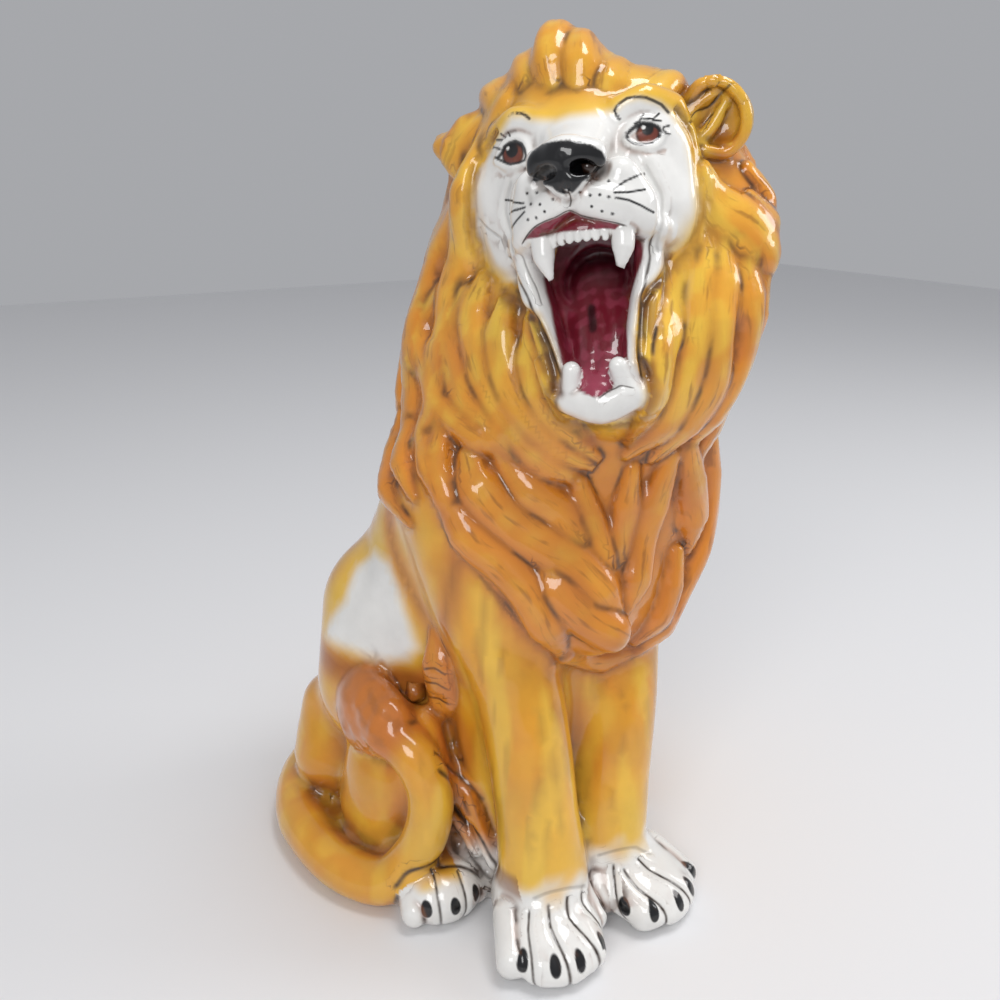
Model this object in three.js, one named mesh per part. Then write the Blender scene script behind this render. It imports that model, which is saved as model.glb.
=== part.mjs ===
// A seated roaring lion: a tall glazed ceramic floor figure, cast as one piece.
// Millimetres, +Z up. The lion faces -Y, its left side is +X, and its feet rest on Z = 0.
// The figure is built as a modeller builds it in clay: rolls of clay are laid along smooth lines,
// pressed into one mass, hollowed where the mouth and ears are, and then cut with one closed skin.
import * as THREE from "three";
import { edgeTable, triTable } from "three/addons/objects/MarchingCubes.js";

const { lerp, clamp, degToRad } = THREE.MathUtils;
const vec = (x, y, z) => new THREE.Vector3(x, y, z);

// Driving sizes of the animal
const EYES = vec(-11, -95, 582); // midway between the two eyes
const HEAD_TURN = degToRad(44); // towards the lion's right
const HEAD_ROLL = degToRad(8.5); // left side lifted
const HIP = 106; // half the distance between the haunches
const SHOULDER_JOINT = 62; // half the distance between the shoulders
const FOOT_SPLAY = degToRad(17);
const TOES = 4;
const TOE = 10.5; // half width
const TAIL = 18; // radius
const CANINE = 24; // length
const MANE_LOCK = 17; // half width of the plainer locks of the back
const MANE_THICK = 12;
const MANE_STEP = 20; // degrees between them
const YOKE = vec(10, -40, 0); // the upright through the middle of the shoulder mane

// Sizes of the skin
const CELL = 4; // spacing of the grid that it is cut on
const TRIANGLES = 9800; // left when it is thinned
const FACE_REACH = 190; // round the eyes, where the thinning keeps more
const FACE_WORTH = 8;
const SMOOTHING = [0.5, -0.52, 0.5, -0.52, 0.5, -0.52];

// Directions
const FRONT = vec(0, -1, 0);
const UP = vec(0, 0, 1);
const faceForward = vec(-Math.sin(HEAD_TURN), -Math.cos(HEAD_TURN), 0);
const level = vec(-faceForward.y, faceForward.x, 0);
const faceSide = level.clone().multiplyScalar(Math.cos(HEAD_ROLL)).addScaledVector(UP, Math.sin(HEAD_ROLL));
const faceUp = UP.clone().multiplyScalar(Math.cos(HEAD_ROLL)).addScaledVector(level, -Math.sin(HEAD_ROLL));

// The head's own frame: sideways to the lion's left, up the forehead, and forwards out of the face.
const faceDirection = (side, up, forward) =>
  faceSide.clone().multiplyScalar(side).addScaledVector(faceUp, up).addScaledVector(faceForward, forward);
const face = (side, up, forward) => faceDirection(side, up, forward).add(EYES);
const THROAT = face(0, -70, -55); // the middle of the ruff

// Clay

const clay = [];

// The place between two entries of a list, for a share of the way along it.
function between(list, share) {
  const place = share * (list.length - 1);
  const i = Math.min(Math.floor(place), list.length - 2);
  return [list[i], list[i + 1], place - i];
}

// Lays a roll of clay: its half widths and half thicknesses are spread along its points, and its
// thickness runs along out. A cut roll is taken away instead, and soft is the fillet where it joins.
function lay(points, wide, deep, { out = FRONT, soft = 10, cut = false } = {}) {
  const line = points.length > 1 ? new THREE.CatmullRomCurve3(points, false, "centripetal") : null;
  const steps = line ? 4 * (points.length - 1) : 1;
  const size = (sizes, t) => (Array.isArray(sizes) ? lerp(...between(sizes, t)) : sizes);
  const facing = (t) => {
    if (!Array.isArray(out)) return out;
    const [a, b, share] = between(out, t);
    return a.clone().lerp(b, share).normalize();
  };
  const rings = [];
  for (let i = 0; i <= steps; i++) {
    const t = i / steps;
    const centre = line ? line.getPoint(t) : points[0];
    rings.push([...centre.toArray(), size(wide, t), size(deep, t), ...facing(t).toArray()]);
  }
  const reach = Math.max(...rings.map((ring) => Math.max(ring[3], ring[4]))) + soft + 2 * CELL;
  const box = new THREE.Box3().setFromPoints(rings.map(([x, y, z]) => vec(x, y, z))).expandByScalar(reach);
  clay.push({ rings, soft, cut, box });
}

// How far a point is from a roll's skin, negative inside: taken from the nearest stretch of the roll.
function distance({ rings }, x, y, z) {
  let best = Infinity;
  for (let i = 0; i + 1 < rings.length; i++) {
    const a = rings[i];
    const b = rings[i + 1];
    const ex = b[0] - a[0];
    const ey = b[1] - a[1];
    const ez = b[2] - a[2];
    let qx = x - a[0];
    let qy = y - a[1];
    let qz = z - a[2];
    const length2 = ex * ex + ey * ey + ez * ez;
    const t = length2 > 0 ? clamp((qx * ex + qy * ey + qz * ez) / length2, 0, 1) : 0;
    qx -= t * ex;
    qy -= t * ey;
    qz -= t * ez;
    const wide2 = lerp(a[3], b[3], t) ** 2;
    const deep2 = lerp(a[4], b[4], t) ** 2;
    const through = qx * lerp(a[5], b[5], t) + qy * lerp(a[6], b[6], t) + qz * lerp(a[7], b[7], t);
    const through2 = through * through;
    const across2 = Math.max(qx * qx + qy * qy + qz * qz - through2, 0);
    const k0 = Math.sqrt(across2 / wide2 + through2 / deep2);
    const k1 = Math.sqrt(across2 / (wide2 * wide2) + through2 / (deep2 * deep2));
    best = Math.min(best, k1 > 1e-9 ? (k0 * (k0 - 1)) / k1 : -Math.sqrt(Math.min(wide2, deep2)));
  }
  return best;
}

// Presses two distances together with a fillet of the given softness.
function press(a, b, soft) {
  const h = clamp(0.5 + (0.5 * (b - a)) / soft, 0, 1);
  return lerp(b, a, h) - soft * h * (1 - h);
}
const join = (field, d, { cut, soft }) => (cut ? -press(-field, d, soft) : press(field, d, soft));

// The animal under its mane

function trunk() {
  const spine = [vec(0, 74, 50), vec(0, 66, 130), vec(0, 50, 210), vec(2, 26, 285), vec(6, 8, 355)];
  lay(spine, [112, 118, 118, 104, 86], [104, 110, 110, 98, 84], { soft: 30 });
  const breast = [vec(0, -20, 300), vec(0, -40, 200), vec(0, -46, 120), vec(0, -50, 20)];
  lay(breast, [80, 82, 80, 78], [50, 48, 44, 42], { soft: 16 });
  lay([vec(0, 0, 10), vec(0, 60, 10)], [96, 112], 40, { soft: 20, out: UP }); // the closed seat
}

// A haunch with its hind foot, which the left side tucks further under.
function hindLeg(side) {
  const outside = vec(side, 0, 0);
  lay([vec(side * 92, 84, 205), vec(side * 104, 66, 150)], [54, 58], [44, 46], { soft: 24, out: outside });
  lay([vec(side * HIP, 14, 88), vec(side * 110, 24, 55)], [48, 52], [44, 42], { soft: 16, out: outside });
  lay([vec(side * 122, 116, 100), vec(side * 128, 108, 60)], [32, 42], [30, 36], { soft: 20, out: outside });
  const tuck = side > 0 ? vec(-26, 44, 0) : vec(0, 0, 0);
  const foot = (x, y, z) => vec(side * x, y, z).add(tuck);
  lay([foot(110, 6, 22), foot(107, -58, 20)], [34, 36], [27, 25], { soft: 12, out: UP });
  for (let toe = 0; toe < TOES; toe++) {
    const spread = toe - 1.5;
    const knuckle = foot(107 + 15 * spread, -50, 26);
    lay([knuckle, foot(108 + 18 * spread, -80 + 3 * spread ** 2, 15)], [TOE - 1, TOE], 13, { soft: 3, out: UP });
  }
}

// The right front leg stands straight, and the left one leans in. Both paws turn out.
function frontLeg(side) {
  const shoulder = vec(side * SHOULDER_JOINT, -20, 330);
  const straight = [vec(-56, -50, 255), vec(-47, -82, 190), vec(-46, -108, 100), vec(-45, -117, 50)];
  const leaning = [vec(58, -46, 255), vec(50, -74, 190), vec(32, -95, 100), vec(22, -103, 50)];
  const limb = [shoulder, ...(side < 0 ? straight : leaning)];
  lay(limb, [48, 42, 33, 31.5, 35], [52, 42, 35, 33, 34], { soft: 16 });
  const ankle = side < 0 ? vec(-46, -116, 0) : vec(24, -104, 0);
  const ahead = vec(Math.sin(side * FOOT_SPLAY), -Math.cos(FOOT_SPLAY), 0);
  const across = vec(side * Math.cos(FOOT_SPLAY), Math.sin(FOOT_SPLAY), 0);
  const paw = (x, y, z) => ankle.clone().addScaledVector(across, x).addScaledVector(ahead, y).setZ(z);
  lay([paw(2, 0, 26), paw(2, 34, 21)], [36, 38], [28, 21], { soft: 14, out: UP });
  for (let toe = 0; toe < TOES; toe++) {
    const spread = toe - 1.3;
    const knuckle = paw(3 + 17 * spread, 20, 30);
    lay([knuckle, paw(3 + 20 * spread, 62 - 3.5 * spread ** 2, 15)], TOE, 14, { soft: 3, out: UP });
  }
  lay([paw(-26, 4, 32), paw(-36, 24, 16)], 9, 14, { soft: 4, out: UP }); // dew claw
}

// The feathering behind the right elbow, and the strands of the belly below it.
function bellyHair() {
  const out = vec(-0.8, -0.6, 0);
  const tuft = [vec(-88, -26, 224), vec(-90, -34, 198), vec(-86, -34, 170), vec(-82, -26, 148)];
  lay(tuft, [6, 15, 14, 4], [6, 11, 10, 4], { soft: 4, out });
  const strands = [
    [vec(-86, -18, 140), vec(-84, -36, 114), vec(-78, -60, 96), vec(-74, -68, 70), vec(-68, -80, 42)],
    [vec(-88, -28, 112), vec(-84, -46, 74), vec(-76, -66, 46)],
  ];
  for (const strand of strands) lay(strand, 7, 7, { soft: 4, out });
}

// The tail comes round the right haunch, over the hind foot, and curls up in front of the knee.
function tail() {
  const line = [
    vec(20, 184, 26), vec(-66, 184, 20), vec(-135, 156, 18), vec(-169, 93, 18), vec(-171, 33, 19),
    vec(-161, -8, 19), vec(-142, -37, 23), vec(-123, -50, 48), vec(-113, -57, 80), vec(-112, -57, 112),
    vec(-119, -46, 136), vec(-130, -22, 148),
  ];
  const thick = [TAIL + 8, TAIL + 3, TAIL, TAIL];
  lay(line, thick, thick, { soft: 5 });
  const tuftOut = vec(-1, 0, 0.2).normalize();
  lay([vec(-128, -14, 150), vec(-132, 14, 150)], [28, 35], [20, 19], { soft: 4, out: tuftOut });
  // the clay that fills the gaps behind it
  const behind = [vec(-70, 160, 8), vec(-130, 124, 8), vec(-144, 60, 8), vec(-136, 0, 8)];
  lay(behind, [36, 36, 30, 24], 20, { soft: 8, out: UP });
  lay([vec(-96, -26, 40), vec(-99, -30, 100), vec(-106, -22, 142)], [22, 20, 20], [22, 20, 20], { soft: 10 });
}

// The head

function skull() {
  const out = faceForward;
  lay([face(-8, -10, -60)], 68, 57, { soft: 14, out });
  lay([face(-5, 24, -38)], 44, 24, { soft: 12, out }); // forehead
  for (const [side, cheek] of [[-1, 60], [1, 46]]) {
    const jowl = [face(side * cheek, -26, -34), face(side * (cheek - 6), -62, -28)];
    lay(jowl, [27, 24], [26, 24], { soft: 12, out });
    const brow = [face(side * 26, 15, -2), face(side * 42, 19, -8), face(side * 56, 13, -20)];
    lay(brow, [8, 9, 8], [8, 9, 8], { soft: 8, out });
    lay([face(side * 44, -2, -12)], 14, 12, { soft: 4, out }); // eyeball
    const fold = [face(side * 22, 4, -6), face(side * 34, -22, 4), face(side * 42, -46, 4)];
    lay(fold, [11, 12, 10], [10, 11, 10], { soft: 9, out });
  }
}

function muzzle() {
  const out = faceForward;
  lay([face(-2, -22, -20), face(-2, -26, 2)], [38, 32], [20, 19], { soft: 10, out: faceUp });
  const bridge = [face(-2, 14, -14), face(-2, -8, 22), face(-2, -14, 42)];
  lay(bridge, [26, 20, 17], [16, 16, 12], { soft: 8, out: faceUp });
  const nose = [face(-20, -11, 45), face(-2, -6, 50), face(15, -10, 47)];
  lay(nose, [7, 9, 7], [9, 9, 8], { soft: 4, out: faceUp });
  lay([face(-2, -14, 51), face(-2, -28, 55)], [15, 6], [9, 6], { soft: 4, out });
  lay([face(-1, -42, 24)], 22, 12, { soft: 4, out: faceUp }); // between the halves of the upper lip
  for (const side of [-1, 1]) {
    const lip = [
      face(side * 9 - 2, -35, 43), face(side * 24, -42, 37), face(side * 38, -54, 22), face(side * 44, -60, 2),
    ];
    lay(lip, [11, 13, 10, 9], [11, 12, 11, 12], { soft: 4, out });
    const behind = [face(side * 30, -42, 18), face(side * 40, -48, -6)];
    lay(behind, [14, 16], [12, 14], { soft: 8, out: faceUp });
  }
}

function lowerJaw() {
  const out = faceForward;
  for (const [side, wider] of [[-1, 6], [1, 0]]) {
    const bar = [
      face(side * (38 + wider), -58, 4), face(side * (35 + wider), -86, 7),
      face(side * (30 + wider / 2), -114, 20), face(side * 25, -142, 36),
    ];
    lay(bar, [9, 10, 10, 10], [17, 18, 17, 14], { soft: 5, out });
  }
  lay([face(-17, -157, 40), face(1, -162, 45), face(19, -157, 40)], [12, 13, 12], [13, 14, 13], { soft: 6, out });
  const underChin = [
    face(-30, -134, 14), face(-20, -158, 22), face(1, -164, 26), face(22, -158, 22), face(30, -134, 14),
  ];
  lay(underChin, 12, 16, { soft: 6, out });
  lay([face(-14, -166, 8), face(4, -176, 10), face(22, -170, 8)], 16, 14, { soft: 10, out });
}

function mouth() {
  const palate = [face(-1, -72, 50), face(-1, -84, 20), face(-1, -88, -16)];
  lay(palate, [22, 26, 21], [13, 24, 20], { soft: 4, out: faceUp, cut: true });
  const gape = [face(-1, -84, 46), face(-1, -112, 48), face(0, -138, 58)];
  lay(gape, [25, 23, 17], [32, 27, 16], { soft: 4, out: faceForward, cut: true });
  const tongue = [face(-1, -92, -16), face(-1, -114, 8), face(0, -134, 30), face(0, -150, 49)];
  const flat = [faceDirection(0, 0.6, 0.8), faceDirection(0, 0.8, 0.6)];
  lay(tongue, [22, 20, 17, 9], [10, 9, 8, 5], { soft: 5, out: flat });
}

function teeth() {
  lay([face(-24, -58, 32), face(-1, -53, 42), face(22, -56, 35)], [5, 5.5, 5], 5, { soft: 3, out: faceForward });
  for (const side of [-1, 1]) {
    const upper = [face(side * 25, -56, 36), face(side * 25, -66, 40), face(side * 22, -56 - CANINE, 42)];
    lay(upper, [8, 7, 2], [8, 7, 2], { soft: 2 });
    lay([face(side * 17, -150, 45), face(side * 15, -138, 48)], [7, 6], [7, 6], { soft: 2 });
  }
}

// The left ear stands out of the mane, and the right one, out of sight, lies back against it.
function ears() {
  const out = faceDirection(0.3, 0, 1).normalize();
  lay([face(62, 1, -58), face(82, 1, -56)], [22, 25], [14, 11], { soft: 8, out });
  lay([face(80, -2, -46), face(85, 2, -46)], [12, 15], [8, 9], { soft: 3, out, cut: true });
  const hidden = [face(-70, 4, -60), face(-94, 8, -66), face(-112, 14, -72)];
  lay(hidden, [20, 19, 10], [14, 11, 7], { soft: 8, out: faceForward });
}

// The mane

function maneMass() {
  const aside = [faceForward, FRONT];
  const ruff = [face(-4, -26, -84), face(-2, -72, -70), face(-2, -122, -50)];
  lay(ruff, [74, 112, 94], [36, 50, 56], { soft: 16, out: faceForward });
  const bib = [vec(20, -50, 420), vec(8, -48, 350), vec(-2, -66, 290), vec(0, -104, 252)];
  lay(bib, [99, 96, 76, 32], [68, 62, 52, 28], { soft: 20, out: aside });
  lay([vec(67, -54, 368), vec(66, -64, 300), vec(42, -86, 245)], [62, 55, 31], [58, 50, 30], { soft: 20 });
  const nape = [vec(42, -14, 540), vec(34, 2, 490), vec(20, 16, 420), vec(8, 24, 350)];
  lay(nape, [54, 81, 91, 80], [50, 68, 72, 64], { soft: 20, out: aside });
}

let bed = []; // the clay that the locks are laid on

function bedAt(p) {
  const near = bed.filter(({ box }) => box.containsPoint(p));
  return near.reduce((d, item) => join(d, distance(item, p.x, p.y, p.z), item), 60);
}

// Follows a straight line in from outside until it meets the clay.
function settle(from, towards) {
  const step = towards.clone().sub(from).normalize();
  const p = from.clone();
  for (let n = 0; n < 60; n++) {
    const d = bedAt(p);
    if (d < 0.3) break;
    p.addScaledVector(step, Math.min(d, 8) * 0.9);
  }
  return p;
}

const OUTSIDE = 260; // further out than any clay

// A place on the shoulder mane: degrees round from the front, and a height.
function around([turn, height]) {
  const middle = YOKE.clone().setZ(height);
  const a = degToRad(turn);
  return settle(vec(Math.sin(a), -Math.cos(a), 0).multiplyScalar(OUTSIDE).add(middle), middle);
}

// A place on the ruff: degrees round the face from the top, and degrees leaning back from its front.
function onRuff([clock, lean]) {
  const a = degToRad(clock);
  const b = degToRad(lean);
  const way = faceDirection(Math.sin(b) * Math.sin(a), Math.sin(b) * Math.cos(a), Math.cos(b));
  return settle(THROAT.clone().addScaledVector(way, OUTSIDE), THROAT);
}

// The way out of the clay at a point on its skin.
function wayOut(p) {
  const h = 3;
  const slope = (x, y, z) => bedAt(vec(p.x + x, p.y + y, p.z + z)) - bedAt(vec(p.x - x, p.y - y, p.z - z));
  return vec(slope(h, 0, 0), slope(0, h, 0), slope(0, 0, h)).normalize();
}

// Lays one lock of hair along points on the bed: full in the middle, and drawn out to a point.
function lock(points, wide, thick, { root = 0.55, tip = 0.25, sunk = 0.2 } = {}) {
  const out = points.map(wayOut);
  const line = points.map((p, i) => p.clone().addScaledVector(out[i], sunk * thick));
  const full = points.map((p, i) => (i === 0 ? root : i === points.length - 1 ? tip : 1));
  lay(line, full.map((f) => f * wide), full.map((f) => f * thick), { out, soft: 4 });
}

// The ruff round the face: half width, thickness, then its places.
const RUFF_LOCKS = [
  // its right half, from the rim inwards to the jaw
  [14, 12, [-50, 82], [-66, 91], [-80, 99], [-93, 103], [-104, 101], [-113, 93]],
  [13, 12, [-56, 82], [-73, 88], [-90, 92], [-105, 88], [-117, 80], [-129, 72], [-141, 66], [-152, 64]],
  [15, 10, [-77, 79], [-92, 81], [-105, 78], [-118, 72], [-132, 67], [-145, 64], [-158, 65]],
  [14, 9, [-97, 68], [-109, 67], [-122, 63], [-134, 62], [-147, 62], [-160, 64], [-170, 67]],
  [13, 9, [-112, 54], [-125, 55], [-137, 57], [-149, 59], [-162, 62], [-173, 66]],
  [11, 8, [-130, 42], [-144, 50], [-153, 55], [-164, 59], [-175, 65]],
  [8, 6, [-150, 38], [-160, 42], [-166, 56], [-172, 61]],
  // its left half, from the jaw outwards
  [14, 8, [88, 63], [107, 55], [132, 49], [149, 44], [161, 50], [175, 64]],
  [14, 9, [90, 70], [110, 62], [132, 58], [149, 60], [163, 64], [177, 67]],
  [14, 9, [95, 74], [113, 69], [130, 66], [145, 69], [158, 70], [171, 72]],
  [14, 10, [103, 79], [116, 80], [128, 81], [140, 80], [152, 79], [164, 78]],
  [14, 11, [110, 88], [122, 91], [134, 91], [146, 89], [157, 88], [166, 85]],
  // the big locks under the left ear
  [12, 8, [74, 66], [84, 74], [98, 81], [112, 86]],
  [17, 9, [62, 72], [76, 78], [88, 84], [100, 90], [112, 94]],
  [15, 11, [90, 97], [100, 104], [114, 108], [128, 107]],
  [15, 12, [112, 103], [128, 105], [144, 103], [156, 98]],
  // the fall below the right ear
  [15, 13, [-92, 104], [-104, 110], [-116, 108], [-127, 100]],
];

// The shoulder mane: half width, thickness, then its places.
const SHOULDER_LOCKS = [
  [15, 14, [-134, 476], [-132, 452], [-126, 430], [-114, 412]],
  [12, 10, [-119, 424], [-109, 407], [-98, 389], [-90, 367]],
  [13, 11, [-128, 404], [-120, 380], [-106, 358], [-92, 340]],
  [11, 10, [-114, 408], [-106, 383], [-90, 361], [-80, 339]],
  [13, 12, [-138, 380], [-130, 352], [-112, 334], [-94, 320]],
  [11, 10, [-97, 392], [-89, 368], [-80, 345], [-71, 322]],
  [15, 12, [-83, 356], [-71, 320], [-57, 300], [-44, 280], [-36, 258], [-28, 230]],
  [17, 12, [-78, 370], [-70, 350], [-58, 330], [-42, 316], [-26, 303], [-13, 281], [-2, 254]],
  [14, 10, [-63, 373], [-47, 350], [-31, 336], [-22, 317], [-12, 292]],
  [12, 9, [-19, 356], [-14, 330], [-9, 303], [-2, 276]],
  [11, 9, [7, 366], [6, 338], [2, 310], [-2, 290]],
  [14, 11, [23, 372], [20, 336], [15, 310], [9, 284], [2, 262]],
  [15, 12, [31, 378], [39, 348], [45, 318], [46, 288]],
  [15, 12, [56, 376], [62, 342], [62, 312], [58, 282], [50, 252], [40, 230], [27, 212]],
  [11, 10, [38, 292], [36, 266], [31, 242], [22, 222]],
  [16, 12, [-36, 304], [-31, 284], [-21, 267], [-8, 251], [2, 240]],
  [12, 10, [-27, 228], [-10, 214], [12, 206], [28, 214]],
  [15, 12, [78, 388], [80, 352], [78, 320], [70, 290], [62, 264]],
  [14, 12, [96, 402], [97, 368], [94, 336], [86, 306], [78, 284]],
  [14, 12, [114, 412], [114, 380], [110, 350], [102, 320]],
];

// The crown: half width, thickness, then places in the head's frame.
const CROWN_LOCKS = [
  [13, 11, [-14, 26, -16], [-18, 54, -26], [-16, 69, -44], [-14, 60, -70]],
  [13, 12, [0, 24, -14], [1, 46, -22], [0, 59, -40], [5, 54, -68]],
  [12, 10, [14, 18, -14], [17, 32, -22], [20, 41, -42], [23, 38, -68]],
  [12, 11, [-30, 20, -22], [-36, 42, -36], [-40, 54, -54], [-42, 46, -80]],
  [13, 12, [-46, 14, -26], [-58, 32, -44], [-66, 40, -62], [-70, 32, -88]],
  [13, 10, [33, 10, -20], [45, 22, -32], [53, 28, -50], [57, 20, -78]],
  [11, 10, [26, 26, -48], [40, 32, -62], [54, 26, -82]],
];

function mane() {
  for (const [wide, thick, ...places] of RUFF_LOCKS) lock(places.map(onRuff), wide, thick);
  for (const [wide, thick, ...places] of SHOULDER_LOCKS) lock(places.map(around), wide, thick);
  const swell = [0.55, 1, 1, 0.7];
  const out = faceDirection(0, 0.8, 0.6);
  for (const [wide, thick, ...places] of CROWN_LOCKS) {
    const line = places.map((place) => face(...place));
    lay(line, swell.map((f) => f * wide), swell.map((f) => f * thick), { out, soft: 4 });
  }
  // the sides and back, in two tiers
  for (let n = 0; n < 9; n++) {
    const turn = 84 + MANE_STEP * n;
    const upper = [[turn, 590], [turn + 5, 548], [turn - 3, 505], [turn + 3, 460]];
    lock(upper.map(around), MANE_LOCK, MANE_THICK);
    const end = 350 + 6 * (n % 2);
    const lower = [[turn + 10, 478], [turn + 5, 438], [turn + 13, 396], [turn + 8, end]];
    if (n > 1) lock(lower.map(around), MANE_LOCK, MANE_THICK);
  }
}

// From clay to skin

// Fills a grid with the distance to the pressed clay, flat where the figure stands.
function castOf(items) {
  const bounds = new THREE.Box3();
  for (const { box } of items) bounds.union(box);
  bounds.min.z = -CELL / 2;
  const size = bounds.getSize(vec(0, 0, 0)).divideScalar(CELL).ceil().addScalar(1);
  const last = size.clone().subScalar(1);
  const [nx, ny, nz] = size.toArray();
  const field = new Float32Array(nx * ny * nz).fill(10 * CELL);
  for (const item of items) {
    const low = item.box.min.clone().sub(bounds.min).divideScalar(CELL).floor().max(vec(0, 0, 0));
    const high = item.box.max.clone().sub(bounds.min).divideScalar(CELL).ceil().min(last);
    for (let k = low.z; k <= high.z; k++)
      for (let j = low.y; j <= high.y; j++)
        for (let i = low.x; i <= high.x; i++) {
          const at = i + nx * (j + ny * k);
          const p = [bounds.min.x + i * CELL, bounds.min.y + j * CELL, bounds.min.z + k * CELL];
          field[at] = join(field[at], distance(item, ...p), item);
        }
  }
  const layer = nx * ny;
  for (let at = 0; at < field.length; at++) {
    const below = -(bounds.min.z + Math.floor(at / layer) * CELL);
    field[at] = Math.max(field[at], below);
  }
  return { field, nx, ny, nz, origin: bounds.min };
}

const cellOf = (at, { nx, ny }) => [at % nx, Math.floor(at / nx) % ny, Math.floor(at / (nx * ny))];

// Leaves one mass of clay with no air shut up inside it.
function makeWhole(cast) {
  const { field, nx, ny, nz } = cast;
  const strides = [1, nx, nx * ny];
  const ends = [nx, ny, nz];
  const reached = (start, solid) => {
    const seen = new Uint8Array(field.length);
    const queue = [start];
    seen[start] = 1;
    while (queue.length) {
      const at = queue.pop();
      cellOf(at, cast).forEach((index, axis) => {
        for (const way of [-1, 1]) {
          const next = at + way * strides[axis];
          if (index + way < 0 || index + way >= ends[axis]) continue;
          if (seen[next] || field[next] < 0 !== solid) continue;
          seen[next] = 1;
          queue.push(next);
        }
      });
    }
    return seen;
  };
  const air = reached(0, false);
  field.forEach((d, at) => {
    if (d >= 0 && !air[at]) field[at] = -CELL / 2;
  });
  const deepest = field.reduce((best, d, at) => (d < field[best] ? at : best), 0);
  const mass = reached(deepest, true);
  field.forEach((d, at) => {
    if (d < 0 && !mass[at]) field[at] = CELL / 2;
  });
  return cast;
}

// Cuts the skin of the cast by marching cubes.
function skinOf(cast) {
  const { field, nx, ny, nz, origin } = cast;
  const strides = [1, nx, nx * ny];
  const corner = [0, 1, 1 + nx, nx, nx * ny, 1 + nx * ny, 1 + nx + nx * ny, nx + nx * ny];
  const edges = [[0, 1], [1, 2], [2, 3], [3, 0], [4, 5], [5, 6], [6, 7], [7, 4], [0, 4], [1, 5], [2, 6], [3, 7]];
  const found = new Map();
  const points = [];
  const faces = [];
  const crossing = (a, b) => {
    const low = Math.min(a, b);
    const high = Math.max(a, b);
    const key = 3 * low + strides.indexOf(high - low);
    if (!found.has(key)) {
      const t = clamp(field[low] / (field[low] - field[high]), 0.02, 0.98);
      const from = cellOf(low, cast);
      const to = cellOf(high, cast);
      found.set(key, points.length / 3);
      for (let n = 0; n < 3; n++) points.push(origin.getComponent(n) + CELL * lerp(from[n], to[n], t));
    }
    return found.get(key);
  };
  for (let k = 0; k + 1 < nz; k++)
    for (let j = 0; j + 1 < ny; j++)
      for (let i = 0; i + 1 < nx; i++) {
        const at = i + nx * (j + ny * k);
        let shape = 0;
        for (let n = 0; n < 8; n++) if (field[at + corner[n]] < 0) shape |= 1 << n;
        if (!edgeTable[shape]) continue;
        for (let n = shape * 16; triTable[n] !== -1; n += 3)
          for (const m of [2, 1, 0]) {
            const [p, q] = edges[triTable[n + m]];
            faces.push(crossing(at + corner[p], at + corner[q]));
          }
      }
  return { points, faces };
}

// Draws every point towards the middle of its neighbours, and back again by a little more.
function sponge({ points, faces }, strokes) {
  const near = Array.from({ length: points.length / 3 }, () => new Set());
  for (let f = 0; f < faces.length; f += 3)
    for (let n = 0; n < 3; n++) near[faces[f + n]].add(faces[f + ((n + 1) % 3)]).add(faces[f + ((n + 2) % 3)]);
  for (const pull of strokes) {
    const before = points.slice();
    near.forEach((set, v) => {
      const standing = Math.abs(before[3 * v + 2]) < 1e-6;
      for (let n = 0; n < (standing ? 2 : 3); n++) {
        let sum = 0;
        for (const w of set) sum += before[3 * w + n];
        points[3 * v + n] += pull * (sum / set.size - before[3 * v + n]);
      }
    });
  }
  return { points, faces };
}

// The squared distances from a point to a set of planes, kept as ten sums: four times four, symmetric.
const planeSums = ([x, y, z, d], weight) =>
  [x * x, x * y, x * z, x * d, y * y, y * z, y * d, z * z, z * d, d * d].map((value) => weight * value);
const misfit = (q, { x, y, z }) =>
  q[0] * x * x + q[4] * y * y + q[7] * z * z + q[9] +
  2 * (q[1] * x * y + q[2] * x * z + q[3] * x + q[5] * y * z + q[6] * y + q[8] * z);

// The point that fits a set of planes best, or null where they don't meet in one.
function meeting(q) {
  const m = new THREE.Matrix3().set(q[0], q[1], q[2], q[1], q[4], q[5], q[2], q[5], q[7]);
  const spread = (q[0] + q[4] + q[7]) / 3;
  if (Math.abs(m.determinant()) < 1e-3 * spread ** 3) return null;
  return vec(-q[3], -q[6], -q[8]).applyMatrix3(m.invert());
}

// A heap that gives back the item of least cost.
class Heap {
  items = [];
  add(item) {
    let i = this.items.push(item) - 1;
    for (let parent = (i - 1) >> 1; i > 0 && this.items[parent].cost > item.cost; parent = (i - 1) >> 1) {
      this.items[i] = this.items[parent];
      i = parent;
    }
    this.items[i] = item;
  }
  take() {
    const { items } = this;
    const top = items[0];
    const last = items.pop();
    if (!items.length) return top;
    let i = 0;
    for (let child = 1; child < items.length; child = 2 * i + 1) {
      if (child + 1 < items.length && items[child + 1].cost < items[child].cost) child++;
      if (items[child].cost >= last.cost) break;
      items[i] = items[child];
      i = child;
    }
    items[i] = last;
    return top;
  }
}

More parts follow.
